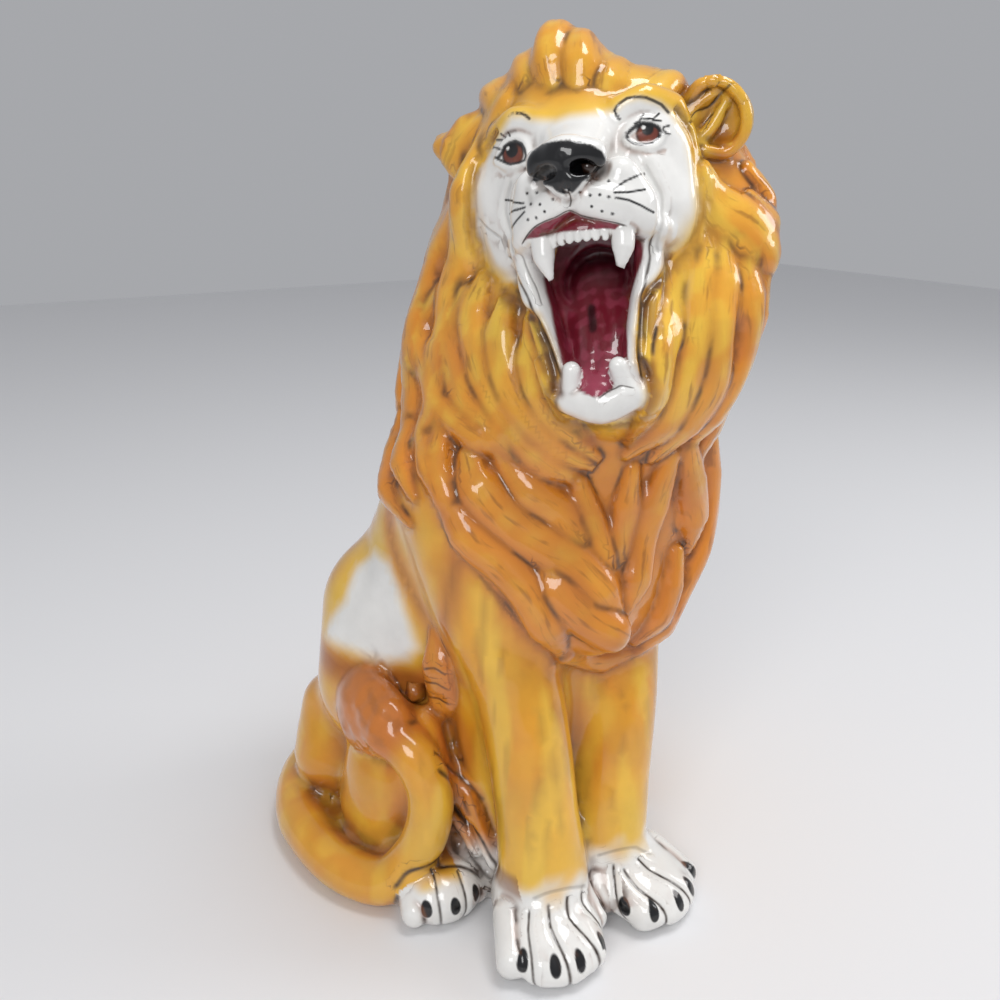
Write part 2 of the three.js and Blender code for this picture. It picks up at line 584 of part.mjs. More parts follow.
// Thins the skin by closing its least needed edges, each where the flat faces round it meet best.
function thin({ points, faces }, wanted, worth) {
  const spots = [];
  for (let v = 0; v < points.length; v += 3) spots.push(vec(points[v], points[v + 1], points[v + 2]));
  const tris = [];
  const touching = spots.map(() => new Set());
  const sums = spots.map(() => new Array(10).fill(0));
  const normal = (a, b, c) => b.clone().sub(a).cross(c.clone().sub(a));
  for (let f = 0; f < faces.length; f += 3) {
    const tri = faces.slice(f, f + 3);
    const up = normal(...tri.map((v) => spots[v]));
    const weight = (up.length() / 2) * worth(spots[tri[0]]);
    up.normalize();
    const plane = planeSums([...up.toArray(), -up.dot(spots[tri[0]])], weight);
    for (const v of tri) {
      touching[v].add(tris.length);
      plane.forEach((value, n) => (sums[v][n] += value));
    }
    tris.push(tri);
  }
  const standing = (v) => Math.abs(spots[v].z) < 1e-6;
  const age = new Uint32Array(spots.length);
  // how the edge from a to b closes best: where its point goes, and what that costs
  const plan = (a, b) => {
    const q = sums[a].map((value, n) => value + sums[b][n]);
    const middle = spots[a].clone().add(spots[b]).multiplyScalar(0.5);
    const far = 2 * spots[a].distanceTo(spots[b]);
    let best = { cost: Infinity };
    for (const choice of [spots[a], spots[b], middle, meeting(q)]) {
      if (!choice) continue;
      const p = choice.clone();
      if (standing(a) || standing(b)) p.z = 0;
      if (p.distanceTo(middle) > far) continue;
      const cost = misfit(q, p) + 1e-3 * p.distanceToSquared(middle);
      if (cost < best.cost) best = { cost, p, q, a, b, ages: [age[a], age[b]] };
    }
    return best;
  };
  // whether a face round the edge would turn over, or shrink to nothing
  const spoils = ({ a, b, p }) =>
    [a, b].some((v) =>
      [...touching[v]].some((f) => {
        const tri = tris[f];
        if (tri.includes(a) && tri.includes(b)) return false;
        const before = normal(...tri.map((w) => spots[w]));
        const after = normal(...tri.map((w) => (w === v ? p : spots[w])));
        return before.dot(after) < 0.35 * before.length() * after.length() || after.length() < 0.05;
      }),
    );
  const ring = (v) => new Set([...touching[v]].flatMap((f) => tris[f]).filter((w) => w !== v));
  const heap = new Heap();
  spots.forEach((_, a) => ring(a).forEach((b) => a < b && heap.add(plan(a, b))));
  let left = tris.length;
  while (left > wanted) {
    const best = heap.take();
    const { a, b } = best;
    if (age[a] !== best.ages[0] || age[b] !== best.ages[1]) continue;
    const ringA = ring(a);
    if ([...ring(b)].filter((v) => ringA.has(v)).length !== 2 || spoils(best)) continue;
    spots[a] = best.p;
    sums[a] = best.q;
    for (const f of [...touching[b]]) {
      const tri = tris[f];
      if (tri.includes(a)) {
        for (const v of tri) touching[v].delete(f);
        tris[f] = null;
        left--;
      } else {
        tri[tri.indexOf(b)] = a;
        touching[a].add(f);
      }
    }
    touching[b].clear();
    age[a]++;
    age[b]++;
    ring(a).forEach((v) => heap.add(plan(a, v)));
  }
  return { points: spots.flatMap((p) => p.toArray()), faces: tris.filter((tri) => tri).flat() };
}

// The figure

trunk();
for (const side of [-1, 1]) {
  hindLeg(side);
  frontLeg(side);
}
bellyHair();
tail();
maneMass();
skull();
muzzle();
lowerJaw();
ears();
bed = [...clay];
mane();
mouth();
teeth();

const onFace = (p) => p.distanceTo(EYES) < FACE_REACH && p.clone().sub(EYES).dot(faceForward) > -25;
const worth = (p) => (onFace(p) ? FACE_WORTH : 1);
const skin = thin(sponge(skinOf(makeWhole(castOf(clay))), SMOOTHING), TRIANGLES, worth);
const geometry = new THREE.BufferGeometry();
geometry.setAttribute("position", new THREE.Float32BufferAttribute(skin.points, 3));
geometry.setIndex(skin.faces);

const glaze = new THREE.MeshStandardMaterial({ color: 0xd99a3a, roughness: 0.15, metalness: 0 });
const lion = new THREE.Mesh(geometry, glaze);
lion.name = "lion_figure";
const figure = new THREE.Group();
figure.add(lion);

export default figure;
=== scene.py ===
import math
import bmesh
import bpy
import numpy as np
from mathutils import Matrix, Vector


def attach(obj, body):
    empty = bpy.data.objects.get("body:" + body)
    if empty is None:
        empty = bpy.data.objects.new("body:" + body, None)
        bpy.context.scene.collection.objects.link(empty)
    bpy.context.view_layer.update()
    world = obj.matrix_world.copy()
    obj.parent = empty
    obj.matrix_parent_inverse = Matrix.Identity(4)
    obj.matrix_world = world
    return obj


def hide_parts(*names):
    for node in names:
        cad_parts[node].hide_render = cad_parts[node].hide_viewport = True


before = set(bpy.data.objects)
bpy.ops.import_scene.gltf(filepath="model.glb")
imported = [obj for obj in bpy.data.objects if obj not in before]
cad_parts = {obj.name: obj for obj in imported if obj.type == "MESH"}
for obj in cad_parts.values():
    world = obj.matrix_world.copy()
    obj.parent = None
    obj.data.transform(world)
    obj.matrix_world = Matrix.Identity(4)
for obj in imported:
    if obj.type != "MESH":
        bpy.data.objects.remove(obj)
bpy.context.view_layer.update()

# The camera stands to the lion's front right, at the height of its eyes, and looks down a little,
# as the photograph does. Lens and sensor are alike, so one image width is one metre
# of view at one metre.
LOOKING_DOWN, TURNED = 18.75, -30  # degrees
camera = bpy.data.objects.new("camera", bpy.data.cameras.new("camera"))
camera.data.lens = 36
camera.data.sensor_width = 36
camera.location = (-0.3946, -0.656, 0.570)
camera.rotation_euler = (math.radians(90 - LOOKING_DOWN), 0, math.radians(TURNED))
bpy.context.scene.collection.objects.link(camera)
bpy.context.scene.camera = camera

# The lion. The whole figure is one hollow cast of earthenware, modelled in clay first, so its
# fine skin is made as the modeller made it: rolls of clay are laid along smooth lines and pressed
# together, here in millimetres, and the solid's own skin is then drawn onto that clay.
MILLIMETRES = 1000  # in a metre
TINY = 1e-9
EYES = np.array([-11.0, -95.0, 582.0])  # the middle between the eyes, and of the head's frame
HEAD_TURN = math.radians(44)
HEAD_ROLL = math.radians(8.5)
UP = np.array([0.0, 0.0, 1.0])
FRONT = np.array([0.0, -1.0, 0.0])
face_forward = np.array([-math.sin(HEAD_TURN), -math.cos(HEAD_TURN), 0.0])
level = np.array([-face_forward[1], face_forward[0], 0.0])
face_side = level * math.cos(HEAD_ROLL) + UP * math.sin(HEAD_ROLL)
face_up = UP * math.cos(HEAD_ROLL) - level * math.sin(HEAD_ROLL)
face_axes = np.array([face_side, face_up, face_forward])


def vec(x, y, z):
    return np.array([x, y, z], float)


def unit(v):
    return v / np.linalg.norm(v, axis=-1, keepdims=True)


def face_direction(side, up, forward):
    return np.array([side, up, forward], float) @ face_axes


def face(side, up, forward):
    """A place in the head's frame."""
    return EYES + face_direction(side, up, forward)


THROAT = face(0, -70, -55)
clay = []


def spread(values, t):
    """The value at each share t of the way along a list, of numbers or of points."""
    values = np.atleast_1d(np.asarray(values, float))
    if len(values) == 1:
        return np.repeat(values, len(t), axis=0)
    place = t * (len(values) - 1)
    i = np.minimum(place.astype(int), len(values) - 2)
    f = place - i
    f = f if values.ndim == 1 else f[:, None]
    return values[i] * (1 - f) + values[i + 1] * f


STEPS = 4  # of a smooth line between two of its points
REACH = 8  # how far past its own softness a roll is still measured


def smooth_line(points):
    """A centripetal curve through the points."""
    points = np.asarray(points, float)
    ends = np.vstack([2 * points[0] - points[1], points, 2 * points[-1] - points[-2]])
    line = []
    for p0, p1, p2, p3 in zip(ends, ends[1:], ends[2:], ends[3:]):
        d0, d1, d2 = (max(np.linalg.norm(b - a), 1e-6) ** 0.5 for a, b in ((p0, p1), (p1, p2), (p2, p3)))
        t1 = ((p1 - p0) / d0 - (p2 - p0) / (d0 + d1) + (p2 - p1) / d1) * d1
        t2 = ((p2 - p1) / d1 - (p3 - p1) / (d1 + d2) + (p3 - p2) / d2) * d1
        bend, twist = 3 * (p2 - p1) - 2 * t1 - t2, 2 * (p1 - p2) + t1 + t2
        for s in np.arange(STEPS) / STEPS:
            line.append(p1 + t1 * s + bend * s**2 + twist * s**3)
    return np.array([*line, points[-1]])


def lay(points, wide, deep, out=FRONT, soft=10.0, cut=False, kind="coat"):
    """Lays a roll of clay: half widths and half thicknesses along its points, thickness along out."""
    points = np.asarray(points, float)
    line = smooth_line(points) if len(points) > 1 else np.repeat(points, 2, axis=0)
    t = np.linspace(0, 1, len(line))
    wide, deep = spread(wide, t), spread(deep, t)
    facing = unit(spread(np.atleast_2d(out), t))
    course = unit(np.gradient(line, axis=0) + TINY)
    upright = facing - (facing * course).sum(axis=1, keepdims=True) * course
    facing = np.where(np.linalg.norm(upright, axis=1, keepdims=True) > 0.3, unit(upright + TINY), facing)
    reach = max(wide.max(), deep.max()) + soft + REACH
    shape = dict(line=line, wide=wide, deep=deep, out=facing)
    shape.update(low=line.min(axis=0) - reach, high=line.max(axis=0) + reach)
    roll = {name: np.asarray(values, np.float32) for name, values in shape.items()}
    clay.append(dict(roll, soft=soft, cut=cut, kind=kind))


def lay_in_head(places, wide, deep, soft, out=face_forward, side=1, **more):
    """Lays a roll along places in the head's frame, turned over to its right where side is -1."""
    lay([face(side * x, y, z) for x, y, z in places], wide, deep, out, soft, **more)


def measure(roll, p):
    """How far points are from a roll's skin, with their share along it and their place across it."""
    a, b = roll["line"][:-1], roll["line"][1:]
    edge = b - a
    length2 = np.maximum((edge**2).sum(axis=1), TINY)
    q = p[:, None, :] - a[None]
    t = np.clip((q * edge).sum(axis=2) / length2, 0, 1)
    q = q - t[..., None] * edge
    mix = lambda values: values[:-1] * (1 - t) + values[1:] * t
    wide, deep = mix(roll["wide"]), mix(roll["deep"])
    out = roll["out"]
    facing = out[:-1] * (1 - t[..., None]) + out[1:] * t[..., None]
    through = (q * facing).sum(axis=2)
    across2 = np.maximum((q**2).sum(axis=2) - through**2, 0)
    k0 = np.sqrt(across2 / wide**2 + through**2 / deep**2)
    k1 = np.sqrt(across2 / wide**4 + through**2 / deep**4)
    d = np.where(k1 > TINY, k0 * (k0 - 1) / np.maximum(k1, TINY), -np.minimum(wide, deep))
    near = d.argmin(axis=1)
    rows = np.arange(len(p))
    side = np.cross(edge[near], facing[rows, near])
    across = (q[rows, near] * side).sum(axis=1) / np.maximum(np.linalg.norm(side, axis=1), TINY)
    share = (near + t[rows, near]) / len(a)
    return d[rows, near], share, across / wide[rows, near]


BATCH = 4000  # points measured at a time
FAR = 40.0  # the depth of points with no clay near them
STRIDES, STRIDE = 60, 8  # how often, and how far at most, a line is followed in towards the clay


def press(a, b, soft):
    """Joins two depths with a soft fillet."""
    h = np.clip(0.5 + 0.5 * (b - a) / soft, 0, 1)
    return b * (1 - h) + a * h - soft * h * (1 - h)


def within(p, low, high):
    return np.flatnonzero(((p > low) & (p < high)).all(axis=1))


def depth(p, rolls):
    """How far points are outside the pressed clay, negative inside."""
    if len(p) > BATCH:
        return np.concatenate([depth(p[n:n + BATCH], rolls) for n in range(0, len(p), BATCH)])
    p = p.astype(np.float32)
    d = np.full(len(p), FAR, np.float32)
    for roll in rolls:
        near = within(p, roll["low"], roll["high"])
        if not len(near):
            continue
        own = measure(roll, p[near])[0]
        d[near] = -press(-d[near], own, roll["soft"]) if roll["cut"] else press(d[near], own, roll["soft"])
    return d


def way_out(p, rolls, h):
    """The way out of the clay at each point, from four touches round it at a distance h."""
    tetrahedron = np.array([[1, 1, 1], [1, -1, -1], [-1, 1, -1], [-1, -1, 1]], float)
    return unit(sum(depth(p + h * way, rolls)[:, None] * way for way in tetrahedron) / (4 * h))


def follow(start, step, rolls, close):
    """Follows straight lines in from outside until they are as close to the clay as asked."""
    p = start.copy()
    for _ in range(STRIDES):
        d = depth(p, rolls)
        p += step * (np.clip(d, 0, STRIDE) * 0.9 * (d >= close))[:, None]
    return p


# The body, legs and tail, with the paws turned out and the tail over the right hind foot.
HIP = 106
SHOULDER_JOINT = 62
FOOT_SPLAY = math.radians(17)
TOES = 4
TOE = 10.5
TAIL = 18

spine = [(0, 74, 50), (0, 66, 130), (0, 50, 210), (2, 26, 285), (6, 8, 355)]
lay(spine, [112, 118, 118, 104, 86], [104, 110, 110, 98, 84], soft=30)
chest = [(0, -20, 300), (0, -40, 200), (0, -46, 120), (0, -50, 20)]
lay(chest, [80, 82, 80, 78], [50, 48, 44, 42], soft=16)
lay([(0, 0, 10), (0, 60, 10)], [96, 112], 40, UP, soft=20)


def hind_leg(side):
    outside = vec(side, 0, 0)
    lay([(side * 92, 84, 205), (side * 104, 66, 150)], [54, 58], [44, 46], outside, 24)
    lay([(side * HIP, 14, 88), (side * 110, 24, 55)], [48, 52], [44, 42], outside, 16)
    lay([(side * 122, 116, 100), (side * 128, 108, 60)], [32, 42], [30, 36], outside, 20)
    tuck = vec(-26, 44, 0) if side > 0 else vec(0, 0, 0)
    foot = lambda x, y, z: vec(side * x, y, z) + tuck
    lay([foot(110, 6, 22), foot(107, -58, 20)], [34, 36], [27, 25], UP, 12)
    for toe in range(TOES):
        splay = toe - 1.5
        knuckle = foot(107 + 15 * splay, -50, 26)
        lay([knuckle, foot(108 + 18 * splay, -80 + 3 * splay**2, 15)], [TOE - 1, TOE], 13, UP, 2)


def paw(side, across, ahead, height):
    """A place on a front paw: across it, ahead of its ankle, and up."""
    ankle = vec(-46, -116, 0) if side < 0 else vec(24, -104, 0)
    way_ahead = vec(math.sin(side * FOOT_SPLAY), -math.cos(FOOT_SPLAY), 0)
    way_across = vec(side * math.cos(FOOT_SPLAY), math.sin(FOOT_SPLAY), 0)
    return ankle + way_across * across + way_ahead * ahead + UP * height


def front_leg(side):
    shoulder = (side * SHOULDER_JOINT, -20, 330)
    straight = [(-56, -50, 255), (-47, -82, 190), (-46, -108, 100), (-45, -117, 50)]
    leaning = [(58, -46, 255), (50, -74, 190), (32, -95, 100), (22, -103, 50)]
    leg = [shoulder, *(straight if side < 0 else leaning)]
    lay(leg, [48, 42, 33, 31.5, 35], [52, 42, 35, 33, 34], soft=16)
    lay([paw(side, 2, 0, 26), paw(side, 2, 34, 21)], [36, 38], [28, 21], UP, 14)
    for toe in range(TOES):
        splay = toe - 1.3
        knuckle = paw(side, 3 + 17 * splay, 20, 30)
        lay([knuckle, paw(side, 3 + 20 * splay, 62 - 3.5 * splay**2, 15)], TOE, 14, UP, 2)
    lay([paw(side, -26, 4, 32), paw(side, -36, 24, 16)], 9, 14, UP, 4)


for side in (-1, 1):
    hind_leg(side)
    front_leg(side)

feathering = unit(vec(-0.8, -0.6, 0))
tuft = [(-88, -26, 224), (-90, -34, 198), (-86, -34, 170), (-82, -26, 148)]
lay(tuft, [6, 15, 14, 4], [6, 11, 10, 4], feathering, 4, kind="lock")
belly_strands = [
    [7, (-86, -18, 140), (-84, -36, 114), (-78, -60, 96), (-74, -68, 70), (-68, -80, 42)],
    [7, (-88, -28, 112), (-84, -46, 74), (-76, -66, 46)],
    [[4, 6, 6, 3], (-98, -30, 160), (-96, -40, 132), (-90, -50, 104), (-82, -66, 78)],
]
for thick, *strand in belly_strands:
    lay(strand, thick, thick, feathering, 4, kind="lock")

tail_line = [
    (20, 184, 26), (-66, 184, 20), (-135, 156, 18), (-169, 93, 18), (-171, 33, 19),
    (-161, -8, 19), (-142, -37, 23), (-123, -50, 48), (-113, -57, 80), (-112, -57, 112),
    (-119, -46, 136), (-130, -22, 148),
]
tail_thick = [TAIL + 8, TAIL + 3, TAIL, TAIL]
lay(tail_line, tail_thick, tail_thick, soft=5, kind="tail")
lay([(-128, -14, 150), (-132, 14, 150)], [28, 35], [20, 19], unit(vec(-1, 0, 0.2)), 4, kind="tail")
lay([(-70, 160, 8), (-130, 124, 8), (-144, 60, 8), (-136, 0, 8)], [36, 36, 30, 24], 20, UP, 8)
lay([(-96, -26, 40), (-99, -30, 100), (-106, -22, 142)], [22, 20, 20], [22, 20, 20], soft=10)

# The mass of the mane: the ruff round the face, the bib down the chest, and the nape.
aside = np.array([face_forward, FRONT])
ruff_line = [(-4, -26, -84), (-2, -72, -70), (-2, -122, -50)]
lay_in_head(ruff_line, [74, 112, 94], [36, 50, 56], 16, kind="mane")
bib = [(20, -50, 420), (8, -48, 350), (-2, -66, 290), (0, -104, 252)]
lay(bib, [99, 96, 76, 32], [68, 62, 52, 28], aside, 20, kind="mane")
left_bib = [(67, -54, 368), (66, -64, 300), (42, -86, 245)]
lay(left_bib, [62, 55, 31], [58, 50, 30], soft=20, kind="mane")
nape = [(42, -14, 540), (34, 2, 490), (20, 16, 420), (8, 24, 350)]
lay(nape, [54, 81, 91, 80], [50, 68, 72, 64], aside, 20, kind="mane")

# The head: skull, cheeks, brows and eyes, then the muzzle with its nose and its two lip pads,
# and the lower jaw, all of one clay with the mane behind them.
lay_in_head([(-8, -10, -60)], 68, 57, 14)
lay_in_head([(-5, 24, -38)], 44, 24, 12)
for side, cheek in ((-1, 60), (1, 46)):
    lay_in_head([(cheek, -26, -34), (cheek - 6, -62, -28)], [27, 24], [26, 24], 12, side=side)
    brow = [(26, 15, -2), (42, 19, -8), (56, 13, -20)]
    lay_in_head(brow, [8, 9, 8], [8, 9, 8], 8, side=side)
    lay_in_head([(44, -2, -12)], 14, 12, 4, side=side, kind="eye")
    fold = [(22, 4, -6), (34, -22, 4), (42, -46, 4)]
    lay_in_head(fold, [11, 12, 10], [10, 11, 10], 9, side=side)
lay_in_head([(-2, -22, -20), (-2, -26, 2)], [38, 32], [20, 19], 10, out=face_up)
lay_in_head([(-2, 14, -14), (-2, -8, 22), (-2, -14, 42)], [26, 20, 17], [16, 16, 12], 8, out=face_up)
lay_in_head([(-20, -11, 45), (-2, -6, 50), (15, -10, 47)], [7, 9, 7], [9, 9, 8], 4, out=face_up, kind="nose")
lay_in_head([(-2, -14, 51), (-2, -28, 55)], [15, 6], [9, 6], 4, kind="nose")
lay_in_head([(-1, -42, 24)], 22, 12, 4, out=face_up)
for side in (-1, 1):
    pad = [(9 - 2 * side, -35, 43), (24, -42, 37), (38, -54, 22), (44, -60, 2)]
    lay_in_head(pad, [11, 13, 10, 9], [11, 12, 11, 12], 4, side=side)
    lay_in_head([(30, -42, 18), (40, -48, -6)], [14, 16], [12, 14], 8, out=face_up, side=side)
for side, wider in ((-1, 6), (1, 0)):
    bar = [(38 + wider, -58, 4), (35 + wider, -86, 7), (30 + wider / 2, -114, 20), (25, -142, 36)]
    lay_in_head(bar, [9, 10, 10, 10], [17, 18, 17, 14], 5, side=side)
lay_in_head([(-17, -157, 40), (1, -162, 45), (19, -157, 40)], [12, 13, 12], [13, 14, 13], 6)
under_chin = [(-30, -134, 14), (-20, -158, 22), (1, -164, 26), (22, -158, 22), (30, -134, 14)]
lay_in_head(under_chin, 12, 16, 6)
lay_in_head([(-14, -166, 8), (4, -176, 10), (22, -170, 8)], 16, 14, 10)

# The ears: the left one stands out of the mane with a hollow cup, and the right one, out of
# sight, lies back against it.
ear_out = unit(face_direction(0.3, 0, 1))
lay_in_head([(62, 1, -58), (82, 1, -56)], [22, 25], [14, 11], 8, out=ear_out)
lay_in_head([(80, -2, -46), (85, 2, -46)], [12, 15], [8, 9], 3, out=ear_out, cut=True)
lay_in_head([(-70, 4, -60), (-94, 8, -66), (-112, 14, -72)], [20, 19, 10], [14, 11, 7], 8)

# The locks of the mane. Each is a roll that is full in the middle and drawn out to a point, and
# it is laid on the mass below along places on that mass.
YOKE = (10, -40)  # the middle of the shoulders, seen from above
OUTSIDE = 260  # far enough from the middle of the mane to be out of it
LOCK_ROOT, LOCK_TIP = 0.55, 0.25  # shares of the full size
LOCK_LIFT = 0.2  # of its half thickness that a lock is raised
bed = list(clay)


def settle(start, towards):
    return follow(start, unit(towards - start), bed, close=0.3)


def around(places):
    """Places on the mass of the mane, given by their turn round the shoulders and their height."""
    turn, height = np.radians(places[:, 0]), places[:, 1]
    middle = np.column_stack([np.full((len(places), 2), YOKE), height])
    way = np.column_stack([np.sin(turn), -np.cos(turn), np.zeros_like(turn)])
    return settle(middle + OUTSIDE * way, middle)


def on_ruff(places):
    """Places on the ruff, given by their turn round the throat and their lean away from the front."""
    clock, lean = np.radians(places).T
    way = np.column_stack([np.sin(lean) * np.sin(clock), np.sin(lean) * np.cos(clock), np.cos(lean)])
    return settle(THROAT + OUTSIDE * (way @ face_axes), np.repeat([THROAT], len(places), axis=0))


def lay_locks(locks, settled):
    """Lays a list of locks, each with a half width, a half thickness and its places."""
    places = settled(np.vstack([lock[2:] for lock in locks]).astype(float))
    ways_out = way_out(places, bed, 3.0)
    ends = np.cumsum([len(lock) - 2 for lock in locks])[:-1]
    for lock, line, out in zip(locks, np.split(places, ends), np.split(ways_out, ends)):
        wide, thick = lock[:2]
        full = np.ones(len(line))
        full[[0, -1]] = LOCK_ROOT, LOCK_TIP
        lay(line + LOCK_LIFT * thick * out, full * wide, full * thick, out, 4, kind="lock")


ruff_locks = [
    [14, 12, [-50, 82], [-66, 91], [-80, 99], [-93, 103], [-104, 101], [-113, 93]],
    [13, 12, [-56, 82], [-73, 88], [-90, 92], [-105, 88], [-117, 80], [-129, 72], [-141, 66], [-152, 64]],
    [15, 10, [-77, 79], [-92, 81], [-105, 78], [-118, 72], [-132, 67], [-145, 64], [-158, 65]],
    [14, 9, [-97, 68], [-109, 67], [-122, 63], [-134, 62], [-147, 62], [-160, 64], [-170, 67]],
    [13, 9, [-112, 54], [-125, 55], [-137, 57], [-149, 59], [-162, 62], [-173, 66]],
    [11, 8, [-130, 42], [-144, 50], [-153, 55], [-164, 59], [-175, 65]],
    [8, 6, [-150, 38], [-160, 42], [-166, 56], [-172, 61]],
    [14, 8, [88, 63], [107, 55], [132, 49], [149, 44], [161, 50], [175, 64]],
    [14, 9, [90, 70], [110, 62], [132, 58], [149, 60], [163, 64], [177, 67]],
    [14, 9, [95, 74], [113, 69], [130, 66], [145, 69], [158, 70], [171, 72]],
    [14, 10, [103, 79], [116, 80], [128, 81], [140, 80], [152, 79], [164, 78]],
    [14, 11, [110, 88], [122, 91], [134, 91], [146, 89], [157, 88], [166, 85]],
    [12, 8, [74, 66], [84, 74], [98, 81], [112, 86]],
    [17, 9, [62, 72], [76, 78], [88, 84], [100, 90], [112, 94]],
    [15, 11, [90, 97], [100, 104], [114, 108], [128, 107]],
    [15, 12, [112, 103], [128, 105], [144, 103], [156, 98]],
    [15, 13, [-92, 104], [-104, 110], [-116, 108], [-127, 100]],
]
shoulder_locks = [
    [15, 14, [-134, 476], [-132, 452], [-126, 430], [-114, 412]],
    [12, 10, [-119, 424], [-109, 407], [-98, 389], [-90, 367]],
    [13, 11, [-128, 404], [-120, 380], [-106, 358], [-92, 340]],
    [11, 10, [-114, 408], [-106, 383], [-90, 361], [-80, 339]],
    [13, 12, [-138, 380], [-130, 352], [-112, 334], [-94, 320]],
    [11, 10, [-97, 392], [-89, 368], [-80, 345], [-71, 322]],
    [15, 12, [-83, 356], [-71, 320], [-57, 300], [-44, 280], [-36, 258], [-28, 230]],
    [17, 12, [-78, 370], [-70, 350], [-58, 330], [-42, 316], [-26, 303], [-13, 281], [-2, 254]],
    [14, 10, [-63, 373], [-47, 350], [-31, 336], [-22, 317], [-12, 292]],
    [12, 9, [-19, 356], [-14, 330], [-9, 303], [-2, 276]],
    [11, 9, [7, 366], [6, 338], [2, 310], [-2, 290]],
    [14, 11, [23, 372], [20, 336], [15, 310], [9, 284], [2, 262]],
    [15, 12, [31, 378], [39, 348], [45, 318], [46, 288]],
    [15, 12, [56, 376], [62, 342], [62, 312], [58, 282], [50, 252], [40, 230], [27, 212]],
    [11, 10, [38, 292], [36, 266], [31, 242], [22, 222]],
    [16, 12, [-36, 304], [-31, 284], [-21, 267], [-8, 251], [2, 240]],
    [12, 10, [-27, 228], [-10, 214], [12, 206], [28, 214]],
    [15, 12, [78, 388], [80, 352], [78, 320], [70, 290], [62, 264]],
    [14, 12, [96, 402], [97, 368], [94, 336], [86, 306], [78, 284]],
    [14, 12, [114, 412], [114, 380], [110, 350], [102, 320]],
]
crown_locks = [
    [13, 11, [-14, 26, -16], [-18, 54, -26], [-16, 69, -44], [-14, 60, -70]],
    [13, 12, [0, 24, -14], [1, 46, -22], [0, 59, -40], [5, 54, -68]],
    [12, 10, [14, 18, -14], [17, 32, -22], [20, 41, -42], [23, 38, -68]],
    [12, 11, [-30, 20, -22], [-36, 42, -36], [-40, 54, -54], [-42, 46, -80]],
    [13, 12, [-46, 14, -26], [-58, 32, -44], [-66, 40, -62], [-70, 32, -88]],
    [13, 10, [33, 10, -20], [45, 22, -32], [53, 28, -50], [57, 20, -78]],
    [11, 10, [26, 26, -48], [40, 32, -62], [54, 26, -82]],
]
lay_locks(ruff_locks, on_ruff)
lay_locks(shoulder_locks, around)
swell = np.array([0.55, 1, 1, 0.7])
crown_out = face_direction(0, 0.8, 0.6)
for wide, thick, *places in crown_locks:
    lay_in_head(places, swell * wide, swell * thick, 4, out=crown_out, kind="lock")

crown_fills = [
    [(-7, 25, -19), (-9, 48, -29), (-8, 61, -46), (-5, 54, -70)],
    [(8, 22, -18), (9, 37, -28), (10, 48, -46), (14, 44, -70)],
    [(-22, 23, -22), (-27, 46, -35), (-28, 58, -52), (-28, 50, -76)],
    [(-38, 17, -27), (-47, 35, -43), (-53, 44, -60), (-56, 37, -84)],
    [(24, 14, -20), (31, 26, -30), (37, 33, -48), (40, 27, -73)],
]
for places in crown_fills:
    lay_in_head(places, swell * 9, swell * 9, 9, out=crown_out, kind="mane")

# the plainer locks of the sides and back, in two tiers
MANE_LOCK, MANE_THICK, MANE_STEP = 17, 12, 20
back_locks = []
for n in range(9):
    turn = 84 + MANE_STEP * n
    upper = [[turn, 590], [turn + 5, 548], [turn - 3, 505], [turn + 3, 460]]
    back_locks.append([MANE_LOCK, MANE_THICK, *upper])
    if n > 1:
        end = 350 + 6 * (n % 2)
        lower = [[turn + 10, 478], [turn + 5, 438], [turn + 13, 396], [turn + 8, end]]
        back_locks.append([MANE_LOCK, MANE_THICK, *lower])
lay_locks(back_locks, around)

rear_locks = [
    [13, 8, [70, 97], [82, 102], [94, 108], [106, 113]],
    [13, 8, [56, 108], [68, 113], [80, 119], [92, 124]],
    [12, 8, [80, 90], [90, 94], [100, 97]],
]
lay_locks(rear_locks, on_ruff)
top_locks = []
for n in range(9):
    turn = 74 + 22 * n
    top_locks.append([15, 8, [turn, 624], [turn + 4, 604], [turn - 3, 576], [turn + 3, 545]])
    if 0 < n < 8:
        turn = 73 + MANE_STEP * n
        top_locks.append([10, 7, [turn + 2, 560], [turn - 3, 520], [turn + 4, 478], [turn, 440]])
side_locks = [
    [12, 8, [66, 520], [70, 490], [64, 455], [70, 425]],
    [12, 8, [79, 505], [83, 475], [77, 438], [81, 405]],
    [11, 7, [93, 470], [97, 440], [91, 410], [95, 388]],
]
lay_locks([*top_locks, *side_locks], around)

# the root of the tail, drawn into the back
lay([(24, 183, 27), (50, 168, 32), (62, 140, 42)], [25, 24, 16], [25, 24, 16], soft=16, kind="tail")

